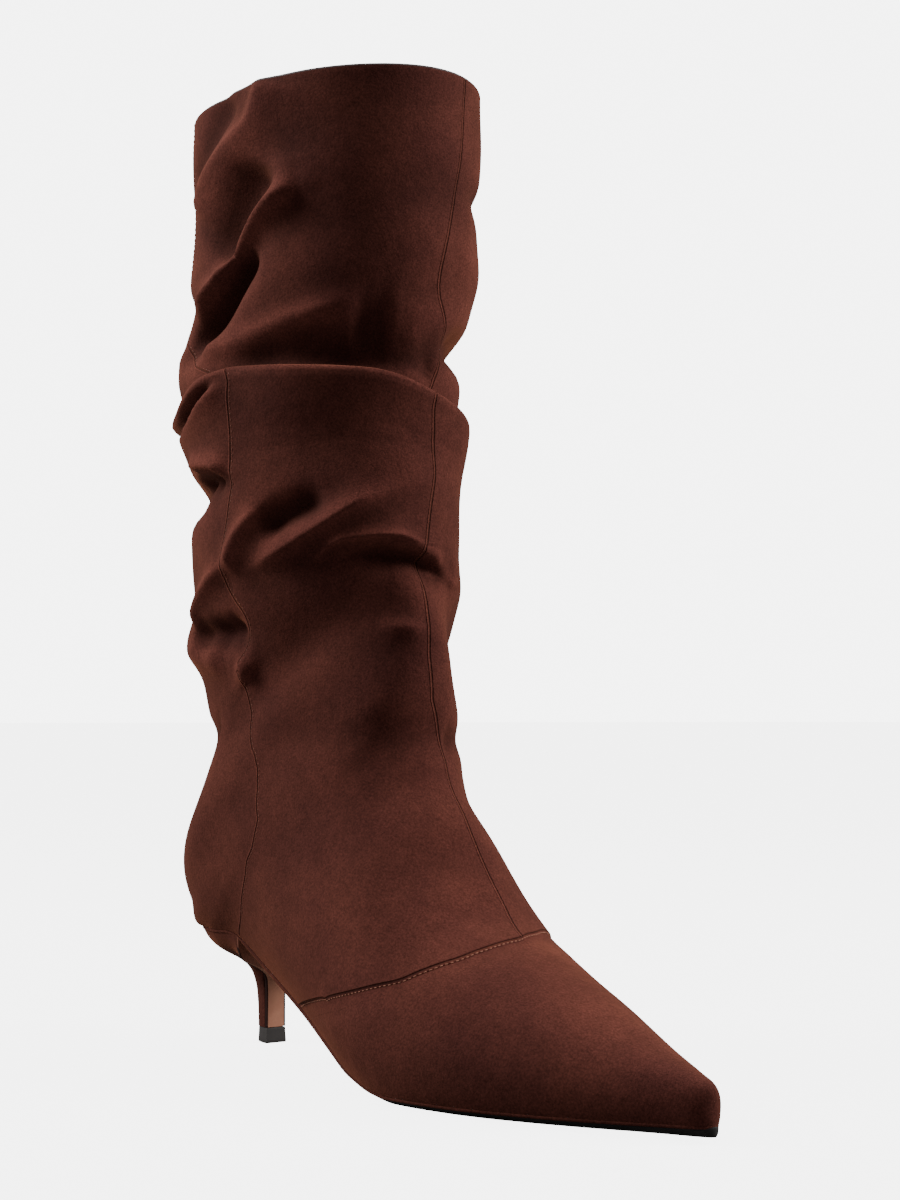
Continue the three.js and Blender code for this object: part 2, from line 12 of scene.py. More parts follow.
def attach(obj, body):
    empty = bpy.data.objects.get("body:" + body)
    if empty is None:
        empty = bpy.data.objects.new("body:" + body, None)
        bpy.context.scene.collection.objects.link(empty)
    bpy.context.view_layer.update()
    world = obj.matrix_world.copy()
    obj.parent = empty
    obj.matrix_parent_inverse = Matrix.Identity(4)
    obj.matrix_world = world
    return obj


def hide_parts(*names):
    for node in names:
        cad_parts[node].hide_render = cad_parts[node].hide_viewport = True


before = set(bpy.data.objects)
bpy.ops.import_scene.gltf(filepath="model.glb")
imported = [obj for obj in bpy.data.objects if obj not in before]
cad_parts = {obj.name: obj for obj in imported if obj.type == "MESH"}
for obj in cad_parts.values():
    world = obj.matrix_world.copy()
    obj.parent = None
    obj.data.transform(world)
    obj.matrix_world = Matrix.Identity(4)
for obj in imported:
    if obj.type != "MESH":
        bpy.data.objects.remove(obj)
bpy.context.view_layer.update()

# Driving dimensions, as in the part's source.
SHOE_LENGTH = 286.0
BALL_WIDTH = 89.0
HEEL_HEIGHT = 49.0
SEAT_LENGTH = 48.0
TOE_SPRING = 2.0
INSTEP_HEIGHT = 104.0
SOLE_THICKNESS = 2.4
SOLE_ROUND = 1.0
WALL = 1.8
CLEARANCE = 0.3
SHAFT_HEIGHT = 372.0
SHAFT_DEPTH = 136.0
SHAFT_WIDTH = 98.0
HEEL_SETBACK = 23.5
TOP_PIECE_HEIGHT = 6.0
TOP_PIECE_WIDTH = 9.2
TOP_PIECE_DEPTH = 11.6
BREAST_THICKNESS = 1.2
SEAM_DEPTH = 0.8
LIP_SIZE = 5.2

# How far the sole's edge lies inside the upper's at the forefoot and the waist, and the lining behind
# the lip. FAR stands for a seam out of reach.
SOLE_TUCK = 0.3
WAIST_TUCK = 2.6
LINING_TUCK = 3.5
FAR = 50.0
METRE = 1000.0


def table(columns, rows):
    """The columns of a table by name, as arrays."""
    return {name: np.array([row[i] for row in rows]) for i, name in enumerate(columns.split())}


# Sections from the toe tip to the back of the heel. seat, fore: place of the sole edge from the heel's
# back, as shares of SEAT_LENGTH and of the length ahead of it. lift, spring: shares of HEEL_HEIGHT and
# TOE_SPRING. inner, outer: half widths of the sole edge, and inner_bulge, outer_bulge: those of the
# widest level, as shares of BALL_WIDTH. ridge_x, ridge_z: the front line, as shares of SHOE_LENGTH and
# INSTEP_HEIGHT. level: the widest level's share of the section's height.
FOOT = table("seat fore lift spring inner outer ridge_x ridge_z inner_bulge outer_bulge level", [
    (1, 1.0, 0, 1.0, 0, 0, 1.0, 0.125, 0, 0, 0.4),
    (1, 0.986, 0, 0.95, 0.05, 0.055, 0.992, 0.175, 0.058, 0.064, 0.4),
    (1, 0.945, 0, 0.8, 0.09, 0.115, 0.958, 0.21, 0.105, 0.13, 0.38),
    (1, 0.87, 0, 0.5, 0.16, 0.215, 0.893, 0.268, 0.185, 0.24, 0.35),
    (1, 0.757, 0, 0.2, 0.265, 0.355, 0.805, 0.37, 0.275, 0.385, 0.32),
    (1, 0.643, 0, 0, 0.37, 0.465, 0.713, 0.463, 0.37, 0.505, 0.3),
    (1, 0.53, 0, 0, 0.445, 0.525, 0.624, 0.575, 0.455, 0.565, 0.28),
    (1, 0.426, 0.07, 0, 0.44, 0.49, 0.565, 0.725, 0.46, 0.56, 0.28),
    (1, 0.313, 0.218, 0, 0.375, 0.405, 0.523, 0.9, 0.43, 0.52, 0.3),
    (1, 0.2, 0.42, 0, 0.31, 0.345, 0.482, 1.04, 0.405, 0.48, 0.32),
    (1, 0.096, 0.648, 0, 0.315, 0.33, 0.466, 1.17, 0.42, 0.45, 0.33),
    (1, 0, 0.87, 0, 0.325, 0.335, 0.472, 1.28, 0.43, 0.435, 0.33),
    (0.62, 0, 0.885, 0, 0.33, 0.34, 0.475, 1.38, 0.435, 0.435, 0.325),
    (0.29, 0, 0.885, 0, 0.285, 0.285, 0.474, 1.46, 0.435, 0.435, 0.315),
    (0.08, 0, 0.885, 0, 0.17, 0.17, 0.473, 1.53, 0.435, 0.435, 0.305),
    (0, 0, 0.885, 0, 0, 0, 0.471, 1.59, 0.43, 0.435, 0.3),
])

# Sections from the heel back up to the collar. front_x, back_x: shares of SHAFT_DEPTH. front_z, back_z:
# shares of SHAFT_HEIGHT. inner, outer: half widths as shares of SHAFT_WIDTH.
SHAFT = table("front_x front_z back_x back_z inner outer level", [
    (0.972, 0.465, -0.135, 0.155, 0.38, 0.415, 0.33),
    (0.98, 0.485, -0.04, 0.22, 0.42, 0.335, 0.38),
    (0.978, 0.51, 0.06, 0.285, 0.455, 0.372, 0.43),
    (0.965, 0.545, 0.03, 0.38, 0.445, 0.445, 0.47),
    (0.95, 0.61, -0.005, 0.51, 0.475, 0.49, 0.5),
    (0.95, 0.7, -0.03, 0.67, 0.5, 0.5, 0.5),
    (1.0, 0.82, -0.018, 0.82, 0.51, 0.49, 0.5),
    (1.035, 0.993, -0.005, 0.985, 0.505, 0.5, 0.5),
])
HEEL_BACK = len(FOOT["fore"]) - 1
COLLAR = HEEL_BACK + len(SHAFT["level"])
BREAST_ROW = HEEL_BACK - 4
HALF_GIRTH = 1.33 * SHAFT_DEPTH
ROW_PITCH = 0.155 * SHAFT_HEIGHT


def smooth(values, start="open", end="open"):
    """The smooth curve through a list, one unit of parameter for each value. The ends are open, or
    mirrored: "even" leaves the end flat, "odd" takes it straight through zero."""
    ghosts = {"open": lambda a, b: 2 * a - b, "even": lambda a, b: b, "odd": lambda a, b: -b}
    first = ghosts[start](values[0], values[1])
    last = ghosts[end](values[-1], values[-2])
    line = np.array([first, *values, last])

    def curve(u):
        i = np.clip(np.floor(u).astype(int), 0, len(values) - 2)
        t = u - i
        p0, p1, p2, p3 = (line[i + k] for k in range(4))
        rise = (p2 - p0) * (t**3 - 2 * t**2 + t) / 2 + (p3 - p1) * (t**3 - t**2) / 2
        return (2 * t**3 - 3 * t**2 + 1) * p1 + (3 * t**2 - 2 * t**3) * p2 + rise

    return curve


def rounded(x, lines, name, reach):
    """A column of a table over its first one, with its corners rounded over a reach."""
    xs = next(iter(lines.values()))
    shifts = np.linspace(-reach, reach, 13)
    return sum(np.interp(x + shift, xs, lines[name]) for shift in shifts) / len(shifts)


FORE_LENGTH = SHOE_LENGTH - SEAT_LENGTH
EDGE_BASE = SOLE_ROUND + SOLE_THICKNESS + CLEARANCE
lift_curve = smooth(FOOT["lift"] * HEEL_HEIGHT + FOOT["spring"] * TOE_SPRING, "even", "even")
edge_x = smooth(FOOT["seat"] * SEAT_LENGTH + FOOT["fore"] * FORE_LENGTH, "even", "even")
edge_y = {side: smooth(FOOT[side] * BALL_WIDTH, "odd", "odd") for side in ("inner", "outer")}


def edge_z(u):
    """Height of the sole edge."""
    return EDGE_BASE + np.maximum(0, lift_curve(u))


# The front line, the widest points and their level run through the foot's sections and the shaft's.
ridge_x = smooth(np.append(FOOT["ridge_x"] * SHOE_LENGTH, SHAFT["front_x"] * SHAFT_DEPTH), "even")
ridge_z = smooth(np.append(FOOT["ridge_z"] * INSTEP_HEIGHT, SHAFT["front_z"] * SHAFT_HEIGHT))
widest = {side: smooth(np.append(FOOT[side + "_bulge"] * BALL_WIDTH, SHAFT[side] * SHAFT_WIDTH), "odd")
          for side in ("inner", "outer")}
level_curve = smooth(np.append(FOOT["level"], SHAFT["level"]))
heel_end = np.array([float(HEEL_BACK)])
back_x = smooth(np.append(edge_x(heel_end), SHAFT["back_x"] * SHAFT_DEPTH))
back_z = smooth(np.append(edge_z(heel_end), SHAFT["back_z"] * SHAFT_HEIGHT))


def last_point(u, v):
    """A point of the unfolded upper. u runs from the toe tip to the collar, and v from the sole edge or
    back line on the outer side (-1), over the front line (0), to the inner side (1)."""
    u, v = np.broadcast_arrays(np.asarray(u, float), np.asarray(v, float))
    shaft = u >= HEEL_BACK
    foot_u = np.minimum(u, HEEL_BACK)
    shaft_u = np.maximum(u - HEEL_BACK, 0)
    base_x = np.where(shaft, back_x(shaft_u), edge_x(foot_u))
    base_z = np.where(shaft, back_z(shaft_u), edge_z(foot_u))
    outer = v < 0
    edge = np.where(outer, edge_y["outer"](foot_u), edge_y["inner"](foot_u))
    edge = np.where(shaft, 0, np.maximum(edge, 0))
    bulge = np.where(outer, widest["outer"](u), widest["inner"](u))
    level = level_curve(u)
    t = np.abs(v)
    top = t < 0.5
    a = np.where(top, t, t - 0.5) * np.pi
    steep = np.minimum(edge / (0.12 * BALL_WIDTH), 1) * np.clip((HEEL_BACK - 2 - u) / 2, 0, 1)
    low = 2 * t - 1
    low_height = (1 - np.sin(a)) * (1 - steep) + (1 - low) * steep
    low_width = np.cos(a) * (1 - steep) + (1 - low * low) * steep
    h = np.where(top, level + (1 - level) * np.cos(a), level * low_height)
    y = np.where(top, bulge * np.sin(a), edge + (bulge - edge) * low_width)
    x = base_x + (ridge_x(u) - base_x) * h
    z = base_z + (ridge_z(u) - base_z) * h
    return np.stack([x, np.where(outer, -y, y), z], axis=-1)


# The creases of the shaft: name, path, rise, above, below, keen and taper. path: its points, each a share
# of the half girth, as v above, and a share of SHAFT_HEIGHT. rise: how far the leather stands out, or
# sinks if negative, as a share of SHAFT_WIDTH. above, below: how far it reaches up and down, as shares
# of SHAFT_HEIGHT. keen: 2 for a soft crest, down to 1 for a sharp one. taper: the share of the path that
# fades out at each end.
CREASES = [
    ("collar fold", [(-0.39, 1.0), (-0.42, 0.958), (-0.46, 0.943), (-0.56, 0.912), (-0.62, 0.875)],
     0.04, 0.012, 0.035, 1.5, 0.1),
    ("collar hollow", [(-0.47, 0.985), (-0.56, 0.95), (-0.7, 0.9)], -0.035, 0.025, 0.012, 2, 0.2),
    ("back hollow", [(-0.39, 0.913), (-0.415, 0.89), (-0.45, 0.862), (-0.485, 0.835), (-0.52, 0.81)],
     -0.09, 0.034, 0.02, 2, 0.25),
    ("slanting ridge", [(-0.3, 0.878), (-0.345, 0.871), (-0.41, 0.849), (-0.48, 0.808), (-0.55, 0.781),
     (-0.61, 0.765)], 0.07, 0.017, 0.01, 1.4, 0.25),
    ("slanting hollow", [(-0.41, 0.828), (-0.45, 0.803), (-0.5, 0.773), (-0.56, 0.75), (-0.64, 0.728)],
     -0.095, 0.011, 0.015, 2, 0.22),
    ("back notch", [(-0.6, 0.787), (-0.95, 0.78)], -0.05, 0.018, 0.018, 2, 0.5),
    ("roll ridge", [(-0.75, 0.722), (-0.61, 0.737), (-0.473, 0.733), (-0.332, 0.745), (-0.221, 0.756),
     (-0.15, 0.764)], 0.035, 0.012, 0.012, 1.5, 0.3),
    ("back swell", [(-0.5, 0.715), (-0.95, 0.712)], 0.035, 0.04, 0.025, 2, 0.4),
    ("pocket shade", [(-0.46, 0.722), (-0.29, 0.717), (-0.15, 0.712), (0, 0.708), (0.08, 0.698)],
     -0.03, 0.022, 0.006, 2, 0.15),
    ("centre hollow", [(-0.19, 0.735), (-0.07, 0.735)], -0.045, 0.03, 0.014, 2, 0.4),
    ("upper tongue", [(-0.455, 0.7), (-0.5, 0.686), (-0.588, 0.673), (-0.66, 0.664), (-0.74, 0.66),
     (-0.88, 0.66)], 0.06, 0.016, 0.009, 2, 0.3),
    ("tongue groove", [(-0.456, 0.69), (-0.51, 0.679), (-0.57, 0.667), (-0.63, 0.658)],
     -0.055, 0.0055, 0.0055, 2, 0.3),
    ("lower tongue", [(-0.445, 0.694), (-0.471, 0.683), (-0.512, 0.672), (-0.586, 0.654),
     (-0.68, 0.643), (-0.85, 0.64)], 0.045, 0.007, 0.018, 1.5, 0.3),
    ("low back notch", [(-0.53, 0.581), (-0.7, 0.58), (-0.95, 0.578)], -0.1, 0.024, 0.02, 2, 0.4),
    ("seam ridge", [(-0.64, 0.614), (-0.574, 0.611), (-0.495, 0.606), (-0.454, 0.599)],
     0.05, 0.014, 0.006, 1.4, 0.35),
    ("seam hollow", [(-0.68, 0.594), (-0.58, 0.598), (-0.47, 0.592)], -0.06, 0.006, 0.014, 2, 0.25),
    ("front notch", [(0.04, 0.724), (0.25, 0.725), (0.5, 0.716)], -0.095, 0.02, 0.018, 2, 0.4),
    ("front dimple", [(0.1, 0.882), (0.25, 0.877), (0.45, 0.868)], -0.03, 0.016, 0.016, 2, 0.45),
    ("front swell", [(0.08, 0.81), (0.34, 0.805)], 0.02, 0.03, 0.03, 2, 0.3),
    ("left branch", [(-0.37, 0.565), (-0.404, 0.549), (-0.436, 0.533), (-0.458, 0.513), (-0.45, 0.49)],
     0.045, 0.012, 0.012, 1.4, 0.3),
    ("long crease", [(-0.05, 0.58), (-0.147, 0.564), (-0.218, 0.547), (-0.278, 0.532), (-0.35, 0.514),
     (-0.43, 0.499)], 0.055, 0.018, 0.01, 1.3, 0.25),
    ("crease hollow", [(-0.39, 0.537), (-0.318, 0.553), (-0.22, 0.568)], -0.065, 0.014, 0.012, 2, 0.3),
    ("front arc", [(-0.27, 0.508), (-0.225, 0.522), (-0.184, 0.527), (-0.128, 0.529), (-0.065, 0.528),
     (0, 0.522)], 0.055, 0.014, 0.0035, 1.1, 0.3),
    ("arc hollow", [(-0.24, 0.503), (-0.133, 0.513), (-0.044, 0.511), (0.04, 0.5), (0.12, 0.482)],
     -0.075, 0.006, 0.024, 2, 0.3),
    ("seam branch", [(-0.45, 0.516), (-0.547, 0.489), (-0.624, 0.466), (-0.66, 0.435)],
     0.045, 0.014, 0.01, 1.3, 0.3),
    ("seam shade", [(-0.68, 0.434), (-0.55, 0.436), (-0.45, 0.44)], -0.075, 0.015, 0.018, 2, 0.25),
    ("seam bump", [(-0.5, 0.414), (-0.45, 0.39)], 0.04, 0.012, 0.014, 1.6, 0.4),
    ("shin hollow", [(0.04, 0.497), (0.16, 0.494)], -0.022, 0.02, 0.02, 2, 0.4),
    ("shin ridge", [(-0.15, 0.44), (0, 0.438)], 0.02, 0.01, 0.01, 1.6, 0.4),
    ("low swell", [(-0.54, 0.42), (-0.85, 0.425)], 0.05, 0.03, 0.022, 2, 0.2),
    ("ankle notch", [(-0.58, 0.335), (-0.85, 0.325)], -0.035, 0.016, 0.03, 2, 0.2),
    ("ankle hollow", [(-0.4, 0.335), (-0.281, 0.328), (-0.146, 0.333), (0, 0.335)],
     -0.014, 0.02, 0.025, 2, 0.4),
    ("front ankle notch", [(0.06, 0.325), (0.3, 0.325)], -0.03, 0.016, 0.016, 2, 0.2),
    ("inner ridge", [(0.3, 0.86), (0.5, 0.8), (0.8, 0.79)], 0.035, 0.022, 0.022, 1.8, 0.3),
    ("inner hollow", [(0.35, 0.6), (0.6, 0.575), (0.85, 0.585)], -0.04, 0.025, 0.02, 2, 0.3),
    ("inner swell", [(0.4, 0.5), (0.8, 0.52)], 0.035, 0.025, 0.025, 2, 0.3),
    ("inner crease", [(0.2, 0.4), (0.5, 0.37), (0.8, 0.4)], -0.03, 0.02, 0.02, 2, 0.3),
]

# The seam of the toe piece and the lip where the lower shaft rolls over the upper one, as rows, as u
# above, at shares of the half girth. roll: the lip's size as a share of LIP_SIZE.
VAMP_SEAM = table("v row", [
    (-1, 9.0), (-0.8, 8.42), (-0.64, 7.97), (-0.5, 7.6), (-0.44, 7.06), (-0.4, 6.7), (-0.35, 6.3),
    (-0.31, 6.01), (-0.24, 5.77), (-0.17, 5.59), (-0.09, 5.55), (0, 5.59), (0.1, 5.82), (0.24, 6.38),
    (0.33, 6.75), (0.44, 7.38), (0.5, 7.8), (0.64, 8.22), (0.8, 8.62), (1, 9.2),
])
LIP_LINE = table("v row roll", [
    (-1, 21.06, 0), (-0.6, 21.06, 0), (-0.46, 21.15, 0.9), (-0.28, 21.03, 1), (-0.08, 20.92, 1),
    (0.01, 20.77, 1), (0.12, 20.65, 0.9), (0.25, 20.56, 0.55), (0.45, 20.56, 0.15), (0.6, 20.66, 0),
    (1, 21.06, 0),
])

# The lip's section, in shares of LIP_SIZE: along the unfolded shaft from the lip's line, and where that
# point goes, outward and upward from the line.
LIP_SECTION = table("along out up", [
    (-8, 0, -8), (-6, 0.12, -6), (-4.2, 0.35, -4.2), (-2.4, 0.62, -2.3), (-1.2, 0.8, -1.0),
    (-0.75, 0.8, -0.38), (-0.5, 0.64, -0.04), (-0.3, 0.3, 0.1), (-0.15, -0.04, -0.04),
    (0, -0.2, -0.4), (0.15, -0.22, -0.75), (0.3, -0.46, -0.98), (0.5, -0.7, -0.75),
    (0.9, -0.72, 0.0), (1.7, -0.68, 1.1), (3.2, -0.35, 3.0), (5, -0.1, 5), (6.5, 0, 6.5),
])
SEAM_PLACE = 6.5
LIP_PLACE = 21.1


def row_of(place, v):
    """The row of a ring at v: rings run even between the toe, the vamp seam, the heel back, the lip and
    the collar."""
    seam = rounded(v, VAMP_SEAM, "row", 0.02)
    lip = rounded(v, LIP_LINE, "row", 0.05)
    places = [0, SEAM_PLACE, HEEL_BACK, LIP_PLACE, COLLAR]
    rows = [0 * v, seam, HEEL_BACK + 0 * v, lip, COLLAR + 0 * v]
    k = min(max(1, int(np.searchsorted(places, place))), len(places) - 1)
    t = (place - places[k - 1]) / (places[k] - places[k - 1])
    return rows[k - 1] + (rows[k] - rows[k - 1]) * t


def catmull(points, count):
    """A smooth open line through a few points."""
    points = np.array(points, float)
    u = np.linspace(0, len(points) - 1, count)
    return np.stack([smooth(points[:, k])(u) for k in range(points.shape[1])], axis=-1)


def crease_lift(v, z):
    """How far the creases lift the leather at v and the height z, in millimetres."""
    lift = np.zeros_like(z)
    for _, path, rise, above, below, keen, taper in CREASES:
        line = catmull(path, 8 * len(path)) * (HALF_GIRTH, SHAFT_HEIGHT)
        middle = line[:, 0].mean() / HALF_GIRTH
        x = (v - 2 * np.round((v - middle) / 2)) * HALF_GIRTH
        near = np.full(z.shape, np.inf)
        up = np.zeros_like(z)
        share = np.zeros_like(z)
        for i in range(1, len(line)):
            a, step = line[i - 1], line[i] - line[i - 1]
            t = np.clip(((x - a[0]) * step[0] + (z - a[1]) * step[1]) / (step @ step), 0, 1)
            dx, dz = x - a[0] - t * step[0], z - a[1] - t * step[1]
            squared = dx * dx + dz * dz
            closer = squared < near
            near = np.where(closer, squared, near)
            up = np.where(closer, dz, up)
            share = np.where(closer, (i - 1 + t) / (len(line) - 1), share)
        reach = np.where(up > 0, above, below) * SHAFT_HEIGHT
        ends = np.clip(np.minimum(share, 1 - share) / taper, 0, 1)
        ends = 0.15 + 0.85 * ends * ends * (3 - 2 * ends)
        lift += rise * SHAFT_WIDTH * ends * np.exp(-(np.sqrt(near) / reach) ** keen)
    return lift


def unit(vectors):
    """Vectors of length one."""
    return vectors / np.maximum(np.linalg.norm(vectors, axis=-1, keepdims=True), 1e-9)


# The columns of the upper's fine net, and the places of its rings, closer where a seam or a fold is.
COLUMNS = 280
LIP_SHARE = LIP_SIZE / ROW_PITCH
lip_alongs = np.concatenate([
    np.linspace(-8, -1.6, 28)[:-1], np.linspace(-1.6, 1.2, 27), np.linspace(1.2, 6.5, 13)[1:]])
places = np.concatenate([
    SEAM_PLACE * np.linspace(0, 1, 58)[:-2],
    SEAM_PLACE + np.array([-0.14, -0.1, -0.07, -0.04, -0.015, 0.01, 0.04]),
    np.linspace(SEAM_PLACE, 12, 42)[1:],
    np.arange(12.1, 18.45, 0.1),
    np.linspace(18.45, LIP_PLACE - 8.3 * LIP_SHARE, 52)[1:],
    LIP_PLACE + lip_alongs * LIP_SHARE,
    np.linspace(LIP_PLACE + 7 * LIP_SHARE, COLLAR, 40),
])
v_line = np.linspace(-1, 1, COLUMNS + 1)
rows = np.array([row_of(place, v_line) for place in places])
V = np.broadcast_to(v_line, rows.shape)
skin = last_point(rows, V)

# Rings meet from two directions around the heel's back, and are evened out there, except at the edge.
SOFT_FROM, SOFT_TO = BREAST_ROW + 1, HEEL_BACK + 3.4
SOFT_PASSES = 90
soft_rows = np.where((places > SOFT_FROM) & (places < SOFT_TO))[0]
rim = np.where(places[:, None] <= HEEL_BACK, np.minimum((1 - np.abs(V)) / 0.25, 1), 1)
soft_fade = np.clip(np.minimum((places - SOFT_FROM) / 1.2, (SOFT_TO - places) / 1.2), 0, 1)
soft_share = (0.6 * soft_fade[:, None] * rim)[soft_rows, :, None]
for _ in range(SOFT_PASSES):
    middle = (skin[soft_rows - 1] + skin[soft_rows + 1]) / 2
    skin[soft_rows] += (middle - skin[soft_rows]) * soft_share

closed = places >= HEEL_BACK


def net_normals(net):
    """Outward directions of a net of rings. The closed ones meet themselves at the back."""
    around = np.gradient(net, axis=1)
    around[closed, 0] = around[closed, -1] = (net[closed, 1] - net[closed, -2]) / 2
    return unit(np.cross(around, np.gradient(net, axis=0)))


# The creases fade in above the ankle, over heights that are shares of SHAFT_HEIGHT.
CREASES_FROM, CREASES_FADE = 0.26, 0.1
out = net_normals(skin)
height_share = skin[..., 2] / SHAFT_HEIGHT
lift = crease_lift(V, skin[..., 2])
lift *= np.clip((height_share - CREASES_FROM) / CREASES_FADE, 0, 1)

# Soft leather never lies quite even: low swells on the shaft, and hardly any on the lasted foot.
SWELL_SIZE = (34, 34, 26)
SWELLS = table("share height", [(0.12, 0.1), (0.3, 0.6), (0.45, 1.5), (0.9, 1.5), (1, 0.8)])
uneven = [noise.noise(Vector(point)) for point in (skin / SWELL_SIZE).reshape(-1, 3).tolist()]
swell = np.interp(height_share, SWELLS["share"], SWELLS["height"])
lift += np.reshape(uneven, lift.shape) * swell
rim_share = np.minimum(1, (1 - np.abs(V)) / 0.15)
step_place = np.interp(places - SEAM_PLACE, [-0.6, -0.12, -0.03, 0], [0, 1, 1, 0])
folded = skin + out * (lift - SEAM_DEPTH * step_place[:, None] * rim_share)[..., None]

flat_out = unit(out * (1, 1, 0))
roll = rounded(V, LIP_LINE, "roll", 0.06) * LIP_SIZE
alongs = (places - LIP_PLACE) * ROW_PITCH / LIP_SIZE
lip_out = np.interp(alongs, LIP_SECTION["along"], LIP_SECTION["out"], left=0, right=0)
lip_rise = LIP_SECTION["up"] - LIP_SECTION["along"]
lip_up = np.interp(alongs, LIP_SECTION["along"], lip_rise, left=0, right=0)
folded = folded + flat_out * (lip_out[:, None] * roll)[..., None]
folded[..., 2] += lip_up[:, None] * roll
normals = net_normals(folded)


def over_neighbours(values, reach, combine):
    """A net of values, each combined with those within a few rings and columns."""
    for axis in (0, 1):
        size = values.shape[axis]
        values = combine([np.take(values, np.clip(np.arange(size) + k, 0, size - 1), axis=axis)
                          for k in range(-reach, reach + 1)], axis=0)
    return values


# How far each point stands out from the leather around it. On crests the nap is worn pale and a highlight
# is painted, and in hollows painted shade darkens it. A painted highlight also runs along the lip's top
# edge.
lip_crest = np.exp(-((alongs[:, None] + 0.6) / 0.35) ** 2) * roll / LIP_SIZE
# The painted highlight along the lip's top edge, as a share of the lip's size.
around = over_neighbours(over_neighbours(lift, 5, np.mean), 5, np.mean)
crest = np.clip((lift - around) / 1.2 + 0.9 * lip_crest, -1, 1)


def line_distance(net, line):
    """Distance of every point of a net from a line of points."""
    near = np.full(net.shape[:-1], np.inf)
    for a, b in zip(line[:-1], line[1:]):
        step = b - a
        t = np.clip((net - a) @ step / max(step @ step, 1e-9), 0, 1)
        near = np.minimum(near, ((net - a - t[..., None] * step) ** 2).sum(-1))
    return np.sqrt(near)


def on_net(net, place, v):
    """Points of a net at places and shares of the half girth."""
    i = np.interp(place, places, np.arange(len(places)))
    j = (np.asarray(v) + 1) / 2 * COLUMNS
    i0 = np.clip(i.astype(int), 0, len(places) - 2)
    j0 = np.clip(j.astype(int), 0, COLUMNS - 1)
    a, b = (i - i0)[..., None], (j - j0)[..., None]
    low = net[i0, j0] * (1 - b) + net[i0, j0 + 1] * b
    high = net[i0 + 1, j0] * (1 - b) + net[i0 + 1, j0 + 1] * b
    return low * (1 - a) + high * a


# Seams that run up the boot, as shares of the half girth at places of the rings.
FRONT_SEAM = table("place v", [
    (6.5, 0.02), (7.1, 0.052), (7.8, 0.06), (8.45, 0.056), (9.07, 0.062), (10.0, 0.078), (10.8, 0.05),
    (11.7, 0.01), (13.4, 0), (17.1, 0.008), (18.5, 0.005), (19.5, 0.03), (20.1, 0.045), (20.7, 0.04),
    (21, 0.03), (21.3, 0.07), (21.55, 0.11), (21.68, 0.09), (21.8, 0.045), (21.95, 0.032),
    (22.2, 0.048), (22.35, 0.067), (22.5, 0.085), (23, 0.1),
])
SIDE_SEAM = table("place v", [
    (9.2, -1), (9.48, -0.86), (9.95, -0.727), (10.4, -0.595), (11, -0.483), (11.9, -0.435),
    (13.4, -0.4), (14.5, -0.384), (15.2, -0.382), (15.9, -0.392), (16.8, -0.416), (17.5, -0.455),
    (18.05, -0.487), (18.3, -0.49), (18.5, -0.455), (18.8, -0.452), (19.1, -0.477), (19.3, -0.49),
    (19.6, -0.475), (20.3, -0.45), (20.8, -0.436), (21.12, -0.428), (21.2, -0.56), (21.6, -0.66),
    (22.2, -0.7), (22.6, -0.7), (23, -0.7),
])

# The seam of the inner side isn't in the photo. It runs straight up from the breast to the collar.
inner_half = v_line > 0
seam_x = np.interp(skin[:, inner_half, 2], [42.0, SHAFT_HEIGHT], [SEAT_LENGTH, 62.0])
lean = (skin[:, inner_half, 0] - seam_x)[:, ::-1]
upper_places = places > SIDE_SEAM["place"][0]
INNER_SEAM = {"place": places[upper_places], "v": np.array([
    np.interp(0, row, v_line[inner_half][::-1]) for row in lean[upper_places]])}


def seam_field(seam, reach):
    """The seam's points on the boot, and the signed distance of every point of the net from it."""
    at = np.linspace(seam["place"][0], seam["place"][-1], 260)
    v = rounded(at, seam, "v", reach)
    line = on_net(folded, at, v)
    sign = np.sign(V - rounded(places, seam, "v", reach)[:, None])
    inside = (places >= seam["place"][0] - 0.3)[:, None]
    return at, v, np.where(inside, sign * line_distance(folded, line), FAR)


front_field = seam_field(FRONT_SEAM, 0.12)[2]
side_place, side_v, side_field = seam_field(SIDE_SEAM, 0.12)
inner_place, inner_v, inner_field = seam_field(INNER_SEAM, 0.2)
vamp_line = on_net(folded, np.full(301, SEAM_PLACE), np.linspace(-1, 1, 301))
vamp_field = np.sign(places - SEAM_PLACE)[:, None] * line_distance(folded, vamp_line)


def add_node(tree, kind, inputs=None, **settings):
    """Adds a node with its settings, its values and its links."""
    made = tree.nodes.new(kind)
    for name, value in settings.items():
        setattr(made, name, value)
    for key, value in (inputs or {}).items():
        if isinstance(value, bpy.types.NodeSocket):
            tree.links.new(value, made.inputs[key])
        else:
            made.inputs[key].default_value = value
    return made


def linear(code):
    """A colour from its sRGB hex code, in linear light."""
    parts = [int(code[k:k + 2], 16) / 255 for k in (1, 3, 5)]
    return tuple(c / 12.92 if c <= 0.04045 else ((c + 0.055) / 1.055) ** 2.4 for c in parts) + (1.0,)


def emptied_tree(owner):
    """The node tree of a material or a world, without its first nodes."""
    owner.use_nodes = True
    owner.node_tree.nodes.clear()
    return owner.node_tree


def new_material(name):
    """An empty material, and its tree."""
    material = bpy.data.materials.new(name)
    return material, emptied_tree(material)


def lay_surface(tree, values, height=None, strength=1.0, depth=0.0):
    """The surface of a material, with a relief up to depth metres deep where a height is given."""
    if height is not None:
        relief = {"Height": height, "Strength": strength, "Distance": depth}
        values = {**values, "Normal": add_node(tree, "ShaderNodeBump", relief).outputs["Normal"]}
    shader = add_node(tree, "ShaderNodeBsdfPrincipled", values)
    add_node(tree, "ShaderNodeOutputMaterial", {"Surface": shader.outputs["BSDF"]})


def per_mm(size):
    """Texture scale whose features are about this many millimetres across."""
    return METRE / size


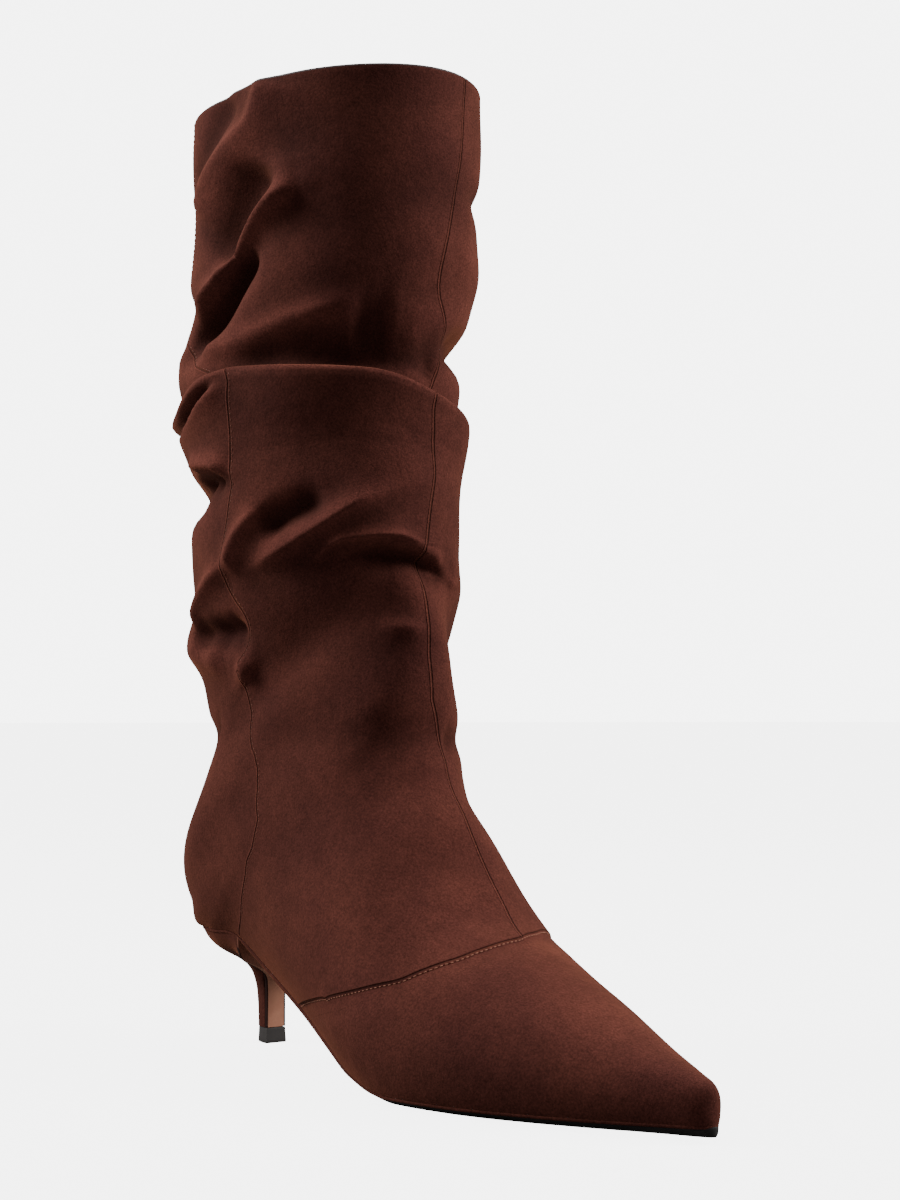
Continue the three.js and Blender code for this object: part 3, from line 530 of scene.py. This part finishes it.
def suede_material(name, seams):
    """Calf suede, split and brushed: no gloss, a soft pale bloom where the nap is seen edge on, and
    patches where it lies another way."""
    material, tree = new_material(name)
    place = add_node(tree, "ShaderNodeTexCoord").outputs["Object"]
    # Real nap is too fine to show, so the last of these is drawn coarser than it is.
    patches, mottle, nap = [
        add_node(tree, "ShaderNodeTexNoise", {
            "Vector": place, "Scale": per_mm(size), "Detail": detail,
            "Roughness": rough}).outputs["Fac"]
        for size, detail, rough in ((34, 3.0, 0.55), (5, 4.0, 0.65), (0.8, 2.0, 0.7))]
    patch_share = add_node(tree, "ShaderNodeMapRange", {
        "Value": patches, "From Min": 0.35, "From Max": 0.65})
    colour = add_node(tree, "ShaderNodeMix", {
        "Factor": patch_share.outputs["Result"], "A": linear("#391c18"), "B": linear("#44231d")},
        data_type="RGBA")
    # The colour's factors: each a value, its range, and the darkest and palest factor.
    ranges = [(mottle, 0.3, 0.7, 0.88, 1.14), (nap, 0.3, 0.7, 0.66, 1.36)]
    if seams:
        # Nap worn pale on crests, together with painted highlights on crests and along the lip, and
        # painted shade in hollows.
        wear_and_shade = add_node(tree, "ShaderNodeAttribute", attribute_name="crest").outputs["Fac"]
        ranges.append((wear_and_shade, -1.0, 1.0, 0.75, 1.5))
    factors = [
        add_node(tree, "ShaderNodeMapRange", {
            "Value": value, "From Min": low, "From Max": high, "To Min": darkest,
            "To Max": palest}).outputs["Result"]
        for value, low, high, darkest, palest in ranges]
    heights = [
        add_node(tree, "ShaderNodeMath", {0: value, 1: height}, operation="MULTIPLY").outputs["Value"]
        for value, height in ((nap, 0.14), (mottle, 0.35))]
    # Each seam is a groove that reaches half a millimetre to both sides, darkened there by painted shade.
    # The edge on the field's negative side stands up a little, and there a painted highlight makes the
    # nap pale.
    for seam, depth in seams:
        field = add_node(tree, "ShaderNodeAttribute", attribute_name=seam).outputs["Fac"]
        beside = add_node(tree, "ShaderNodeMath", {0: field, 1: 0.75}, operation="ADD").outputs["Value"]
        away, beside_away = [
            add_node(tree, "ShaderNodeMath", {0: value}, operation="ABSOLUTE").outputs["Value"]
            for value in (field, beside)]
        # groove: the groove's relief; dark: painted shade along the groove; edge: the raised edge, which
        # gets a painted highlight.
        groove, dark, edge = [
            add_node(tree, "ShaderNodeMapRange", {
                "Value": value, "From Min": near, "From Max": far, "To Min": first, "To Max": last},
                interpolation_type="SMOOTHSTEP").outputs["Result"]
            for value, near, far, first, last in (
                (away, 0.05, 0.5, -depth, 0.0), (away, 0.1, 0.45, 0.55, 1.0),
                (beside_away, 0.0, 0.5, 1.0, 0.0))]
        welt, pale = [
            add_node(tree, "ShaderNodeMath", {0: edge, 1: share, 2: base},
                     operation="MULTIPLY_ADD").outputs["Value"]
            for share, base in ((0.55 * depth, 0.0), (0.45, 1.0))]
        heights += [groove, welt]
        factors += [dark, pale]
    combined = []
    for operation, terms in (("MULTIPLY", factors), ("ADD", heights)):
        combined.append(terms[0])
        for term in terms[1:]:
            both_terms = {0: combined[-1], 1: term}
            node = add_node(tree, "ShaderNodeMath", both_terms, operation=operation)
            combined[-1] = node.outputs["Value"]
    shade, relief = combined
    tint = add_node(tree, "ShaderNodeVectorMath", {
        0: colour.outputs["Result"], "Scale": shade}, operation="SCALE")
    lay_surface(tree, {
        "Base Color": tint.outputs["Vector"], "Roughness": 0.95, "IOR": 1.45,
        "Specular IOR Level": 0.06, "Sheen Weight": 0.3, "Sheen Roughness": 0.4,
        "Sheen Tint": linear("#ad6645")}, relief, 0.8, 0.001)
    return material


def leather_material(name, dark, light, grain, roughness, edge=False):
    """Smooth dyed leather with a fine pore grain and a low satin gloss."""
    material, tree = new_material(name)
    place = add_node(tree, "ShaderNodeTexCoord").outputs["Object"]
    cloud = add_node(tree, "ShaderNodeTexNoise", {"Vector": place, "Scale": per_mm(9), "Detail": 4.0})
    pores = add_node(tree, "ShaderNodeTexVoronoi", {"Vector": place, "Scale": per_mm(grain)})
    # Layers of colour: a value, the range over which it changes, and the colours below and above it.
    layers = [(cloud.outputs["Fac"], 0.3, 0.7, linear(dark), linear(light))]
    if edge:
        # A painted line, two thirds of a millimetre wide, closes the cover's edge, and suede is wrapped
        # over its wings.
        rim, wing = [add_node(tree, "ShaderNodeAttribute", attribute_name=field).outputs["Fac"]
                     for field in ("edge", "wing")]
        layers += [(rim, 0.55, 0.75, linear("#26130f"), None),
                   (wing, -0.15, 0.15, None, linear("#7c4a3a"))]
    result = None
    for value, low, high, below, above in layers:
        share = add_node(tree, "ShaderNodeMapRange", {
            "Value": value, "From Min": low, "From Max": high})
        result = add_node(tree, "ShaderNodeMix", {
            "Factor": share.outputs["Result"], "A": below or result, "B": above or result},
            data_type="RGBA").outputs["Result"]
    lay_surface(tree, {
        "Base Color": result, "Roughness": roughness, "IOR": 1.5, "Specular IOR Level": 0.1},
        pores.outputs["Distance"], 0.25, 0.0001)
    return material


def rubber_material(name, code, roughness):
    """Moulded rubber, buffed after pressing: matt, with fine dust and scratches."""
    material, tree = new_material(name)
    place = add_node(tree, "ShaderNodeTexCoord").outputs["Object"]
    dust = add_node(tree, "ShaderNodeTexNoise", {
        "Vector": place, "Scale": per_mm(1.5), "Detail": 5.0, "Roughness": 0.7}).outputs["Fac"]
    rough = add_node(tree, "ShaderNodeMapRange", {
        "Value": dust, "To Min": roughness - 0.12, "To Max": roughness + 0.12})
    lay_surface(tree, {"Base Color": linear(code), "Roughness": rough.outputs["Result"], "IOR": 1.5,
                       "Specular IOR Level": 0.25}, dust, 0.3, 0.0001)
    return material


def thread_material(name, code):
    """Waxed sewing thread, its twist too fine to show."""
    material, tree = new_material(name)
    lay_surface(tree, {"Base Color": linear(code), "Roughness": 0.7, "Specular IOR Level": 0.3})
    return material


suede = suede_material("brown calf suede", [
    ("front_seam", 1.3), ("side_seam", 0.6), ("inner_seam", 0.6), ("vamp_seam", 0.7)])
heel_suede = suede_material("brown calf suede on the heel", [])
edge_paint = rubber_material("dark brown edge paint", "#24120e", 0.6)
tan_leather = leather_material("tan lining leather", "#7e5342", "#97695a", 1.2, 0.55)
breast_leather = leather_material(
    "tan leather with a painted edge", "#966651", "#a8755f", 0.9, 0.8, edge=True)
black_sole = rubber_material("black resin rubber", "#120e0d", 0.7)
black_cap = rubber_material("black heel rubber", "#312d2b", 0.7)


def add_object(name, data):
    """A new object in the scene."""
    made = bpy.data.objects.new(name, data)
    bpy.context.collection.objects.link(made)
    return made


def new_mesh(name, points, edges, faces):
    """A mesh from points in millimetres, measured from the back of the heel."""
    mesh = bpy.data.meshes.new(name)
    points = (np.asarray(points, float).reshape(-1, 3) - (HEEL_SETBACK, 0, 0)) / METRE
    mesh.from_pydata(points.tolist(), edges, faces)
    return mesh


def make_piece(name, points, faces, materials, fields=None, slots=None, sharp_angle=0):
    """A smooth mesh object. Edges that turn more than sharp_angle stay sharp."""
    mesh = new_mesh(name, points, [], [list(map(int, face)) for face in faces])
    for material in materials:
        mesh.materials.append(material)
    for field, values in (fields or {}).items():
        attribute = mesh.attributes.new(field, "FLOAT", "POINT")
        attribute.data.foreach_set("value", np.asarray(values, np.float32).ravel())
    if slots is not None:
        mesh.polygons.foreach_set("material_index", np.asarray(slots, np.int32))
    mesh.polygons.foreach_set("use_smooth", np.ones(len(mesh.polygons), bool))
    mesh.validate()
    mesh.update()
    if sharp_angle:
        mesh.set_sharp_from_angle(angle=np.radians(sharp_angle))
    return add_object(name, mesh)


def numbered(net):
    """The numbers of a net's points."""
    return np.arange(net[..., 0].size).reshape(net.shape[:-1])


def net_faces(index, flip=False):
    """The quads between the rows of an array of point numbers, without those that have shrunk."""
    corners = [index[:-1, :-1], index[:-1, 1:], index[1:, 1:], index[1:, :-1]]
    if flip:
        corners.reverse()
    faces = []
    for face in np.stack([c.ravel() for c in corners], axis=-1).tolist():
        kept = list(dict.fromkeys(face))
        if len(kept) > 2:
            faces.append(kept)
    return faces


def ring_piece(name, rings, material, sharp_angle, flip=True):
    """A closed piece from rings of points, with a face across each end."""
    index = numbered(rings)
    faces = net_faces(np.concatenate([index, index[:, :1]], axis=1), flip)
    faces += [index[0].tolist(), index[-1][::-1].tolist()]
    return make_piece(name, rings, faces, [material], sharp_angle=sharp_angle)


def stitch_tree():
    """Geometry nodes that lay one stitch after another along a line, each flat on the leather."""
    tree = bpy.data.node_groups.new("seam stitches", "GeometryNodeTree")
    for name, kind in (("Line", "Geometry"), ("Pitch", "Float"), ("Length", "Float"),
                       ("Thickness", "Float"), ("Thread", "Material")):
        tree.interface.new_socket(name, in_out="INPUT", socket_type="NodeSocket" + kind)
    tree.interface.new_socket("Stitches", in_out="OUTPUT", socket_type="NodeSocketGeometry")
    given = add_node(tree, "NodeGroupInput").outputs
    line = add_node(tree, "GeometryNodeMeshToCurve", {"Mesh": given["Line"]})
    places = add_node(tree, "GeometryNodeResampleCurve", {
        "Curve": line.outputs["Curve"], "Length": given["Pitch"]}, mode="LENGTH")
    bead = add_node(tree, "GeometryNodeMeshUVSphere", {"Segments": 6, "Rings": 4, "Radius": 0.5})
    outward = add_node(tree, "GeometryNodeInputNamedAttribute", {"Name": "outward"},
                       data_type="FLOAT_VECTOR")
    along = add_node(tree, "GeometryNodeInputTangent")
    turn = add_node(tree, "FunctionNodeAxesToRotation", {
        "Primary Axis": along.outputs["Tangent"], "Secondary Axis": outward.outputs["Attribute"]},
        primary_axis="X", secondary_axis="Z")
    uneven_length = add_node(tree, "FunctionNodeRandomValue", {"Min": 0.88, "Max": 1.08, "Seed": 7})
    length = add_node(tree, "ShaderNodeMath", {
        0: given["Length"], 1: uneven_length.outputs["Value"]}, operation="MULTIPLY")
    size = add_node(tree, "ShaderNodeCombineXYZ", {
        "X": length.outputs["Value"], "Y": given["Thickness"], "Z": given["Thickness"]})
    laid = add_node(tree, "GeometryNodeInstanceOnPoints", {
        "Points": places.outputs["Curve"], "Instance": bead.outputs["Mesh"],
        "Rotation": turn.outputs["Rotation"], "Scale": size.outputs["Vector"]})
    real = add_node(tree, "GeometryNodeRealizeInstances", {"Geometry": laid.outputs["Instances"]})
    round_off = add_node(tree, "GeometryNodeSetShadeSmooth", {"Geometry": real.outputs["Geometry"]})
    threaded = add_node(tree, "GeometryNodeSetMaterial", {
        "Geometry": round_off.outputs["Geometry"], "Material": given["Thread"]})
    add_node(tree, "NodeGroupOutput", {"Stitches": threaded.outputs["Geometry"]})
    return tree


def sew(name, tree, points, outward, **sizes):
    """A row of stitches along points in millimetres."""
    mesh = new_mesh(name, points, [(i, i + 1) for i in range(len(points) - 1)], [])
    mesh.attributes.new("outward", "FLOAT_VECTOR", "POINT").data.foreach_set("vector", outward.ravel())
    piece = add_object(name, mesh)
    sewing = piece.modifiers.new("sewing", "NODES")
    sewing.node_group = tree
    for socket in tree.interface.items_tree:
        if socket.in_out == "INPUT" and socket.name in sizes:
            sewing[socket.identifier] = sizes[socket.name]
    finished = piece.evaluated_get(bpy.context.evaluated_depsgraph_get())
    stitched = bpy.data.meshes.new_from_object(finished)
    piece.modifiers.remove(sewing)
    piece.data = stitched
    return piece


def dress(piece, slot, *nodes):
    """Hands a finished piece to the frame."""
    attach(piece, "root")
    if nodes:
        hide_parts(*nodes)


# The upper: the folded skin, a rounded collar edge, and a flange that comes down over the upper part of
# the sole's edge and turns in under the foot, further down at the waist.
RIM_SECTION = table("inward up", [(0.15, 0.45), (0.55, 0.8), (0.95, 0.85), (1.4, 0.65), (1.72, 0.2)])
FLANGE = table("inward down waist_inward waist_down", [
    (0.0, 0.5, 0.0, 1.1), (0.1, 0.95, 0.25, 2.1), (0.7, 1.25, 1.2, 2.75), (4.0, 1.25, 4.2, 2.9)])
WAIST_ROWS = (6.9, 7.9, 10.6, 11.0)
EDGE_CENTRE = np.array([140.0, 0, 0])
index = numbered(folded)
index[closed, -1] = index[closed, 0]
index[0, COLUMNS // 2 + 1:] = index[0, :COLUMNS // 2][::-1]
upper_faces = net_faces(index)
skin_count = len(upper_faces)
top_out = unit(normals[-1] * (1, 1, 0))
rim_rings = [folded[-1] - top_out * inward + np.array([0, 0, up])
             for inward, up in zip(RIM_SECTION["inward"], RIM_SECTION["up"])]
rim_rings += [folded[-row] - normals[-row] * (WALL - 0.45) for row in (2, 4)]
rim_numbers = index.size + numbered(np.array(rim_rings))
rim_numbers[:, -1] = rim_numbers[:, 0]
upper_faces += net_faces(np.vstack([index[-1], rim_numbers]))
rim_count = len(upper_faces)
foot_rows = np.where(places <= HEEL_BACK)[0]
sole_loop, loop_points, loop_u = [
    np.concatenate([net[foot_rows, 0], net[foot_rows[::-1], -1]]) for net in (index, folded, rows)]
tangent = unit(np.gradient(loop_points, axis=0) * (1, 1, 0))
inward = np.stack([tangent[:, 1], -tangent[:, 0], 0 * tangent[:, 0]], axis=-1)
inward *= np.sign((inward * (EDGE_CENTRE - loop_points)).sum(-1, keepdims=True))
flange_rings = []
at_waist = np.interp(loop_u, WAIST_ROWS, [0, 1, 1, 0])[:, None]
for turn, down, waist_turn, waist_down in zip(*FLANGE.values()):
    turn_in = turn + (waist_turn - turn) * at_waist
    width = np.minimum(turn_in, 0.6 * np.abs(loop_points[:, 1:2]) + 0.02)
    ring = loop_points + inward * width
    ring[:, 2:] -= down + (waist_down - down) * at_waist
    flange_rings.append(ring)
flange_numbers = index.size + rim_numbers.size + numbered(np.array(flange_rings))
upper_faces += net_faces(np.vstack([sole_loop, flange_numbers]), flip=True)
upper_points = np.concatenate([folded.reshape(-1, 3), *rim_rings, *flange_rings])


def padded(field, fill=FAR):
    """A net's values, with a fill for the points that the edges add."""
    return np.concatenate([field.ravel(), np.full(len(upper_points) - field.size, fill)])


slots = np.zeros(len(upper_faces), int)
slots[skin_count:rim_count] = 1
fields = {"crest": padded(crest, 0), "front_seam": padded(front_field), "side_seam": padded(side_field),
          "inner_seam": padded(inner_field), "vamp_seam": padded(vamp_field)}
dress(make_piece("suede_upper", upper_points, upper_faces, [suede, edge_paint], fields, slots),
      "suede", "upper")

# The stitches, each row a little way from its seam: shift is to the toe side of the vamp seam, to the
# front of the side seam, and below 0 to the front of the inner one, from the place SIDES_FROM up. The
# thread is drawn thicker than it is, to show.
stitches = stitch_tree()
tan_thread = thread_material("light brown thread", "#8a5a45")
brown_thread = thread_material("dark brown thread", "#6a3d2e")
VAMP_POINTS = 400
SIDES_FROM = 9.6


def stitch_row(name, at, v, shift, thread, pitch, length, thickness):
    """Stitches beside the line of places and shares of the half girth, with sizes in millimetres."""
    step = 0.02
    line = on_net(folded, at, v)
    along = unit(np.gradient(line, axis=0))
    moved_at, moved_v = (at - step, v) if np.ptp(at) == 0 else (at, v + step)
    aside = on_net(folded, moved_at, moved_v) - line
    aside -= (aside * along).sum(-1, keepdims=True) * along
    share = shift / np.maximum(np.linalg.norm(aside, axis=-1), 0.2)
    at, v = at + (moved_at - at) * share, v + (moved_v - v) * share
    outward = unit(on_net(normals, at, v))
    points = on_net(folded, at, v) + outward * 0.1 * thickness
    dress(sew(name, stitches, points, outward.astype(np.float32), Pitch=pitch / METRE,
              Length=length / METRE, Thickness=thickness / METRE, Thread=thread), "suede")


stitch_row("vamp_stitches", np.full(VAMP_POINTS, SEAM_PLACE), np.linspace(-0.97, 0.97, VAMP_POINTS),
           shift=0.95, thread=tan_thread, pitch=1.9, length=1.3, thickness=0.42)
kept = side_place > SIDES_FROM
for name, at, v, shift in (("side_stitches", side_place[kept], side_v[kept], 0.8),
                           ("inner_stitches", inner_place[kept], inner_v[kept], -0.8)):
    stitch_row(name, at, v, shift, thread=brown_thread, pitch=2.2, length=1.3, thickness=0.3)

# The lining bridges the hollows on its side of the folds, follows the suede closely at the collar, and
# lies further in behind the lip. Its net has every second ring and column of the suede's.
LINING_STEP = 2
COLLAR_LEVEL, COLLAR_FADE = 22, 14
lowest = over_neighbours(lift + lip_out[:, None] * roll, 5, np.min)
inner_shift = over_neighbours(lowest, 3, np.mean) - WALL
inner_shift -= LINING_TUCK * np.interp(alongs, [-3, -1.5, 2, 4], [0, 1, 1, 0])[:, None]
bridged = skin + out * inner_shift[..., None]
close_share = np.clip((skin[..., 2:] - skin[-1, :, 2:] + COLLAR_LEVEL) / COLLAR_FADE, 0, 1)
inner_net = bridged + (folded - normals * WALL - bridged) * close_share
lining_rows = np.arange(len(places) - 1, -1, -LINING_STEP)[::-1]
inner_net = inner_net[lining_rows, ::LINING_STEP]
inner_net[-1, :, 2] -= 2
inner_index = numbered(inner_net)
inner_index[closed[lining_rows], -1] = inner_index[closed[lining_rows], 0]
dress(make_piece("lining", inner_net, net_faces(inner_index, flip=True), [tan_leather]), "lining")


def sole_edge(u, inset):
    """The sole edge moved inward: outer and inner points at the rows u."""
    edges = []
    for side, sign in (("outer", -1), ("inner", 1)):
        low, high = np.maximum(u - 0.01, 0), np.minimum(u + 0.01, HEEL_BACK)
        dx, dy = edge_x(high) - edge_x(low), edge_y[side](high) - edge_y[side](low)
        length = np.hypot(dx, dy)
        x = edge_x(u) - dy / length * inset
        y = np.maximum(edge_y[side](u) + dx / length * inset, 0)
        edges.append(np.stack([x, sign * y, edge_z(u)], axis=-1))
    return edges


# The outsole: a thin plate with a rounded edge, crowned below where it doesn't stand. At the waist it
# is drawn in. across runs over its top and back below.
sole_u = (BREAST_ROW - 0.03) * np.linspace(0, 1, 150) ** 1.5
sole_tucks = np.interp(sole_u, [0, 1, 6.6, 8.0], [-SOLE_TUCK, SOLE_TUCK, SOLE_TUCK, WAIST_TUCK])
sole_outer, sole_inner = sole_edge(sole_u, sole_tucks)
across = np.append(np.linspace(0, 1, 13), np.linspace(1, 0, 25)[1:-1])
above = np.arange(len(across)) < 13
from_edge = np.minimum(across, 1 - across)
width = np.maximum(sole_inner[:, 1:2] - sole_outer[:, 1:2], 1e-3)
edge_level = sole_outer[:, 2:]
round_off = np.sqrt(np.maximum(0, 1 - (1 - np.minimum(from_edge * width, 1)) ** 2))
crown = SOLE_ROUND * np.clip(1 - (edge_level - EDGE_BASE) / (0.3 * HEEL_HEIGHT), 0.1, 1)
sink = crown * np.interp(from_edge, [0, 0.2, 0.5], [0, 1, 1])
middle = edge_level - CLEARANCE - SOLE_THICKNESS / 2
half = SOLE_THICKNESS / 2 * (0.35 + 0.65 * round_off)
sole_loops = sole_outer[:, None] + (sole_inner - sole_outer)[:, None] * across[:, None]
sole_loops[..., 2] = np.where(above, middle + half, middle - half - sink)
sole_loops[0, :, 0:2] = sole_loops[0, :, 0:2].mean(0)
dress(ring_piece("sole_plate", sole_loops, black_sole, 50, flip=False), "sole", "outsole")

# The heel, spread from its column to the seat.
HEEL_TAPER = table("height back breast", [
    (0, 0, 0), (0.2, 0.01, 0), (0.38, 0.04, 0), (0.5, 0.1, 0.02), (0.58, 0.17, 0.1), (0.64, 0.26, 0.26),
    (0.7, 0.4, 0.5), (0.76, 0.58, 0.78), (0.82, 0.74, 0.93), (0.9, 0.89, 0.99), (1, 1, 1),
])
HEEL_COLUMN = 0.95
HEEL_ROUND = 64
HEEL_RINGS = 60
HEEL_BASE = TOP_PIECE_HEIGHT + CLEARANCE
column_depth = TOP_PIECE_DEPTH * HEEL_COLUMN - BREAST_THICKNESS - CLEARANCE
column_front = HEEL_SETBACK + TOP_PIECE_DEPTH / 2 * HEEL_COLUMN - BREAST_THICKNESS - CLEARANCE


def heel_ring(height):
    """Points around the heel, from the outer corner of the breast over the back to the inner one."""
    back_share, breast_share = [rounded(height, HEEL_TAPER, side, 0.035) for side in ("back", "breast")]
    j = np.arange(HEEL_ROUND + 1)
    turn = np.pi * j / HEEL_ROUND
    x = column_front - column_depth * np.sin(turn)
    y = -0.5 * TOP_PIECE_WIDTH * HEEL_COLUMN * np.cos(turn)
    u = BREAST_ROW + (HEEL_BACK - BREAST_ROW) * (1 - np.abs(1 - 2 * j / HEEL_ROUND))
    seat_y = np.where(j <= HEEL_ROUND / 2, -edge_y["outer"](u), edge_y["inner"](u))
    seat_z = edge_z(u) - CLEARANCE
    back = np.sqrt(np.maximum(np.sin(turn), 0))
    spread = back_share * back + breast_share * (1 - back)
    z = HEEL_BASE + (seat_z - HEEL_BASE) * height
    return np.stack([x + (edge_x(u) - x) * spread, y + (seat_y - y) * spread, z], axis=-1)


heel_loops = np.array([heel_ring(height) for height in np.linspace(0, 1, HEEL_RINGS)])
dress(ring_piece("covered_heel", heel_loops, heel_suede, 50), "suede", "heel")

# The cover of the breast, across the front of the heel, as a back and a front sheet.
outer_edge, inner_edge = heel_loops[:, 0], heel_loops[:, -1]
slope = unit(np.gradient(outer_edge[:, [0, 2]], axis=0))
ahead = np.stack([slope[:, 1], 0 * slope[:, 0], -slope[:, 0]], axis=-1)
cover_across = np.linspace(0, 1, 17)
base = outer_edge[:, None] + (inner_edge - outer_edge)[:, None] * cover_across[:, None]
cover_points = np.stack([base + ahead[:, None] * thick
                         for thick in (CLEARANCE, CLEARANCE + BREAST_THICKNESS)])
heel_width = (inner_edge[:, 1] - outer_edge[:, 1])[:, None]
cover_edge = np.stack([np.minimum(cover_across, 1 - cover_across) * heel_width] * 2)

# The tan runs up the middle as wide as the column, and out along the edges in a strip that thins away.
# The wings between are suede.
cover_height = np.linspace(0, 1, HEEL_RINGS)[:, None]
half_column = 0.5 * TOP_PIECE_WIDTH * HEEL_COLUMN * (1 + 0.5 * np.maximum(cover_height - 0.6, 0))
strip = np.interp(cover_height, [0.6, 0.7, 0.9], [3.0, 1.5, 0])
wing = np.minimum(np.abs(cover_points[..., 1]) - half_column, cover_edge - strip)
waist_u = np.linspace(12, 8, 40)
limit = np.interp(cover_points[..., 0], edge_x(waist_u), edge_z(waist_u))
cover_points[..., 2] = np.minimum(cover_points[..., 2], limit - 2 * CLEARANCE)
back_sheet, front_sheet = numbered(cover_points)
cover_faces = net_faces(front_sheet) + net_faces(back_sheet, flip=True)
for end, flip in ((0, False), (-1, True)):
    for axis in (0, 1):
        edges = [np.take(sheet, end, axis=axis) for sheet in (back_sheet, front_sheet)]
        cover_faces += net_faces(np.stack(edges, axis=axis), flip)
dress(make_piece("breast_cover", cover_points, cover_faces, [breast_leather],
                 {"edge": cover_edge, "wing": wing}, sharp_angle=50), "lining", "heel_breast")

# The top piece, slightly wider at the floor, with its lower edge rounded.
TOP_SECTION = table("grow up", [
    (0.975, 0), (1, 0.35), (0.995, 1.5), (0.97, 3.2), (0.955, 5.0), (0.95, 5.7),
    (0.93, TOP_PIECE_HEIGHT)])
turn = np.linspace(0, np.pi, 49)
top_x = TOP_PIECE_DEPTH * (0.5 - np.sin(turn))
top_y = -0.5 * TOP_PIECE_WIDTH * np.cos(turn)
top_loops = np.array([
    np.stack([HEEL_SETBACK + top_x * grow, top_y * grow, np.full_like(turn, up)], axis=-1)
    for grow, up in zip(*TOP_SECTION.values())])
dress(ring_piece("heel_cap", top_loops, black_cap, 45), "sole", "top_piece")

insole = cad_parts["insole"]
for material_slot in insole.material_slots:
    material_slot.material = tan_leather

# The camera stands ahead of the outer side, a little below the boot's middle, and looks slightly up.
# Its angles are in degrees, its place in metres, and its lens in pixels of a frame FRAME_HEIGHT high.
CAMERA_TURN, CAMERA_TILT = np.radians(54.0), np.radians(3.15)
CAMERA_DISTANCE, CAMERA_HEIGHT, CAMERA_TARGET = 0.77819, 0.130, 0.12457
CAMERA_LENS, FRAME_HEIGHT, SENSOR = 2154.79, 1200, 36.0
camera = add_object("camera", bpy.data.cameras.new("camera"))
camera.data.sensor_width = SENSOR
camera.data.lens = CAMERA_LENS * SENSOR / FRAME_HEIGHT
camera.data.clip_start, camera.data.clip_end = 0.01, 200
camera.location = (CAMERA_TARGET + CAMERA_DISTANCE * np.sin(CAMERA_TURN),
                   -CAMERA_DISTANCE * np.cos(CAMERA_TURN), CAMERA_HEIGHT)
aim = Vector((-np.sin(CAMERA_TURN), np.cos(CAMERA_TURN), np.tan(CAMERA_TILT)))
camera.rotation_euler = aim.to_track_quat("-Z", "Y").to_euler()
bpy.context.scene.camera = camera

# Square studio lamps: place, the point that each faces, size in metres and power in watts.
for name, place, target, size, power in (
        ("left softbox", (-0.75, -0.95, 1.0), (0.05, 0, 0.32), 0.6, 37),
        ("right softbox", (0.95, 1.05, 0.85), (0.05, 0, 0.22), 0.6, 39),
        ("top softbox", (0.08, 0.0, 1.2), (0.06, 0, 0.2), 0.7, 11)):
    lamp = add_object(name, bpy.data.lights.new(name, "AREA"))
    lamp.data.shape = "SQUARE"
    lamp.data.size = size
    lamp.data.energy = power
    lamp.location = place
    lamp.rotation_euler = (Vector(target) - Vector(place)).to_track_quat("-Z", "Y").to_euler()

# The floor and the room are bright for the camera alone, as in a cut-out picture, and light the boot
# only a little.
FLOOR_REACH, FLOOR_GLOW = 60, 5.2
ROOM_FILL, ROOM_GLOW = 0.23, 6.0
floor_mesh = bpy.data.meshes.new("floor")
floor_mesh.from_pydata([(x * FLOOR_REACH, y * FLOOR_REACH, 0)
                        for x, y in ((-1, -1), (1, -1), (1, 1), (-1, 1))], [], [(0, 1, 2, 3)])
floor_material, floor_tree = new_material("white studio floor")
floor_sight = add_node(floor_tree, "ShaderNodeLightPath")
floor_glow = add_node(floor_tree, "ShaderNodeMath", {
    0: floor_sight.outputs["Is Camera Ray"], 1: FLOOR_GLOW}, operation="MULTIPLY")
lay_surface(floor_tree, {
    "Base Color": (0.2, 0.2, 0.2, 1), "Roughness": 0.9, "Specular IOR Level": 0.1,
    "Emission Color": (1, 1, 1, 1), "Emission Strength": floor_glow.outputs["Value"]})
floor_mesh.materials.append(floor_material)
add_object("floor", floor_mesh)

world = bpy.data.worlds.new("white room")
bpy.context.scene.world = world
world_tree = emptied_tree(world)
sight = add_node(world_tree, "ShaderNodeLightPath")
glow = add_node(world_tree, "ShaderNodeMapRange", {
    "Value": sight.outputs["Is Camera Ray"], "To Min": ROOM_FILL, "To Max": ROOM_GLOW})
background = add_node(world_tree, "ShaderNodeBackground", {
    "Color": (1, 1, 1, 1), "Strength": glow.outputs["Result"]})
add_node(world_tree, "ShaderNodeOutputWorld", {"Surface": background.outputs["Background"]})
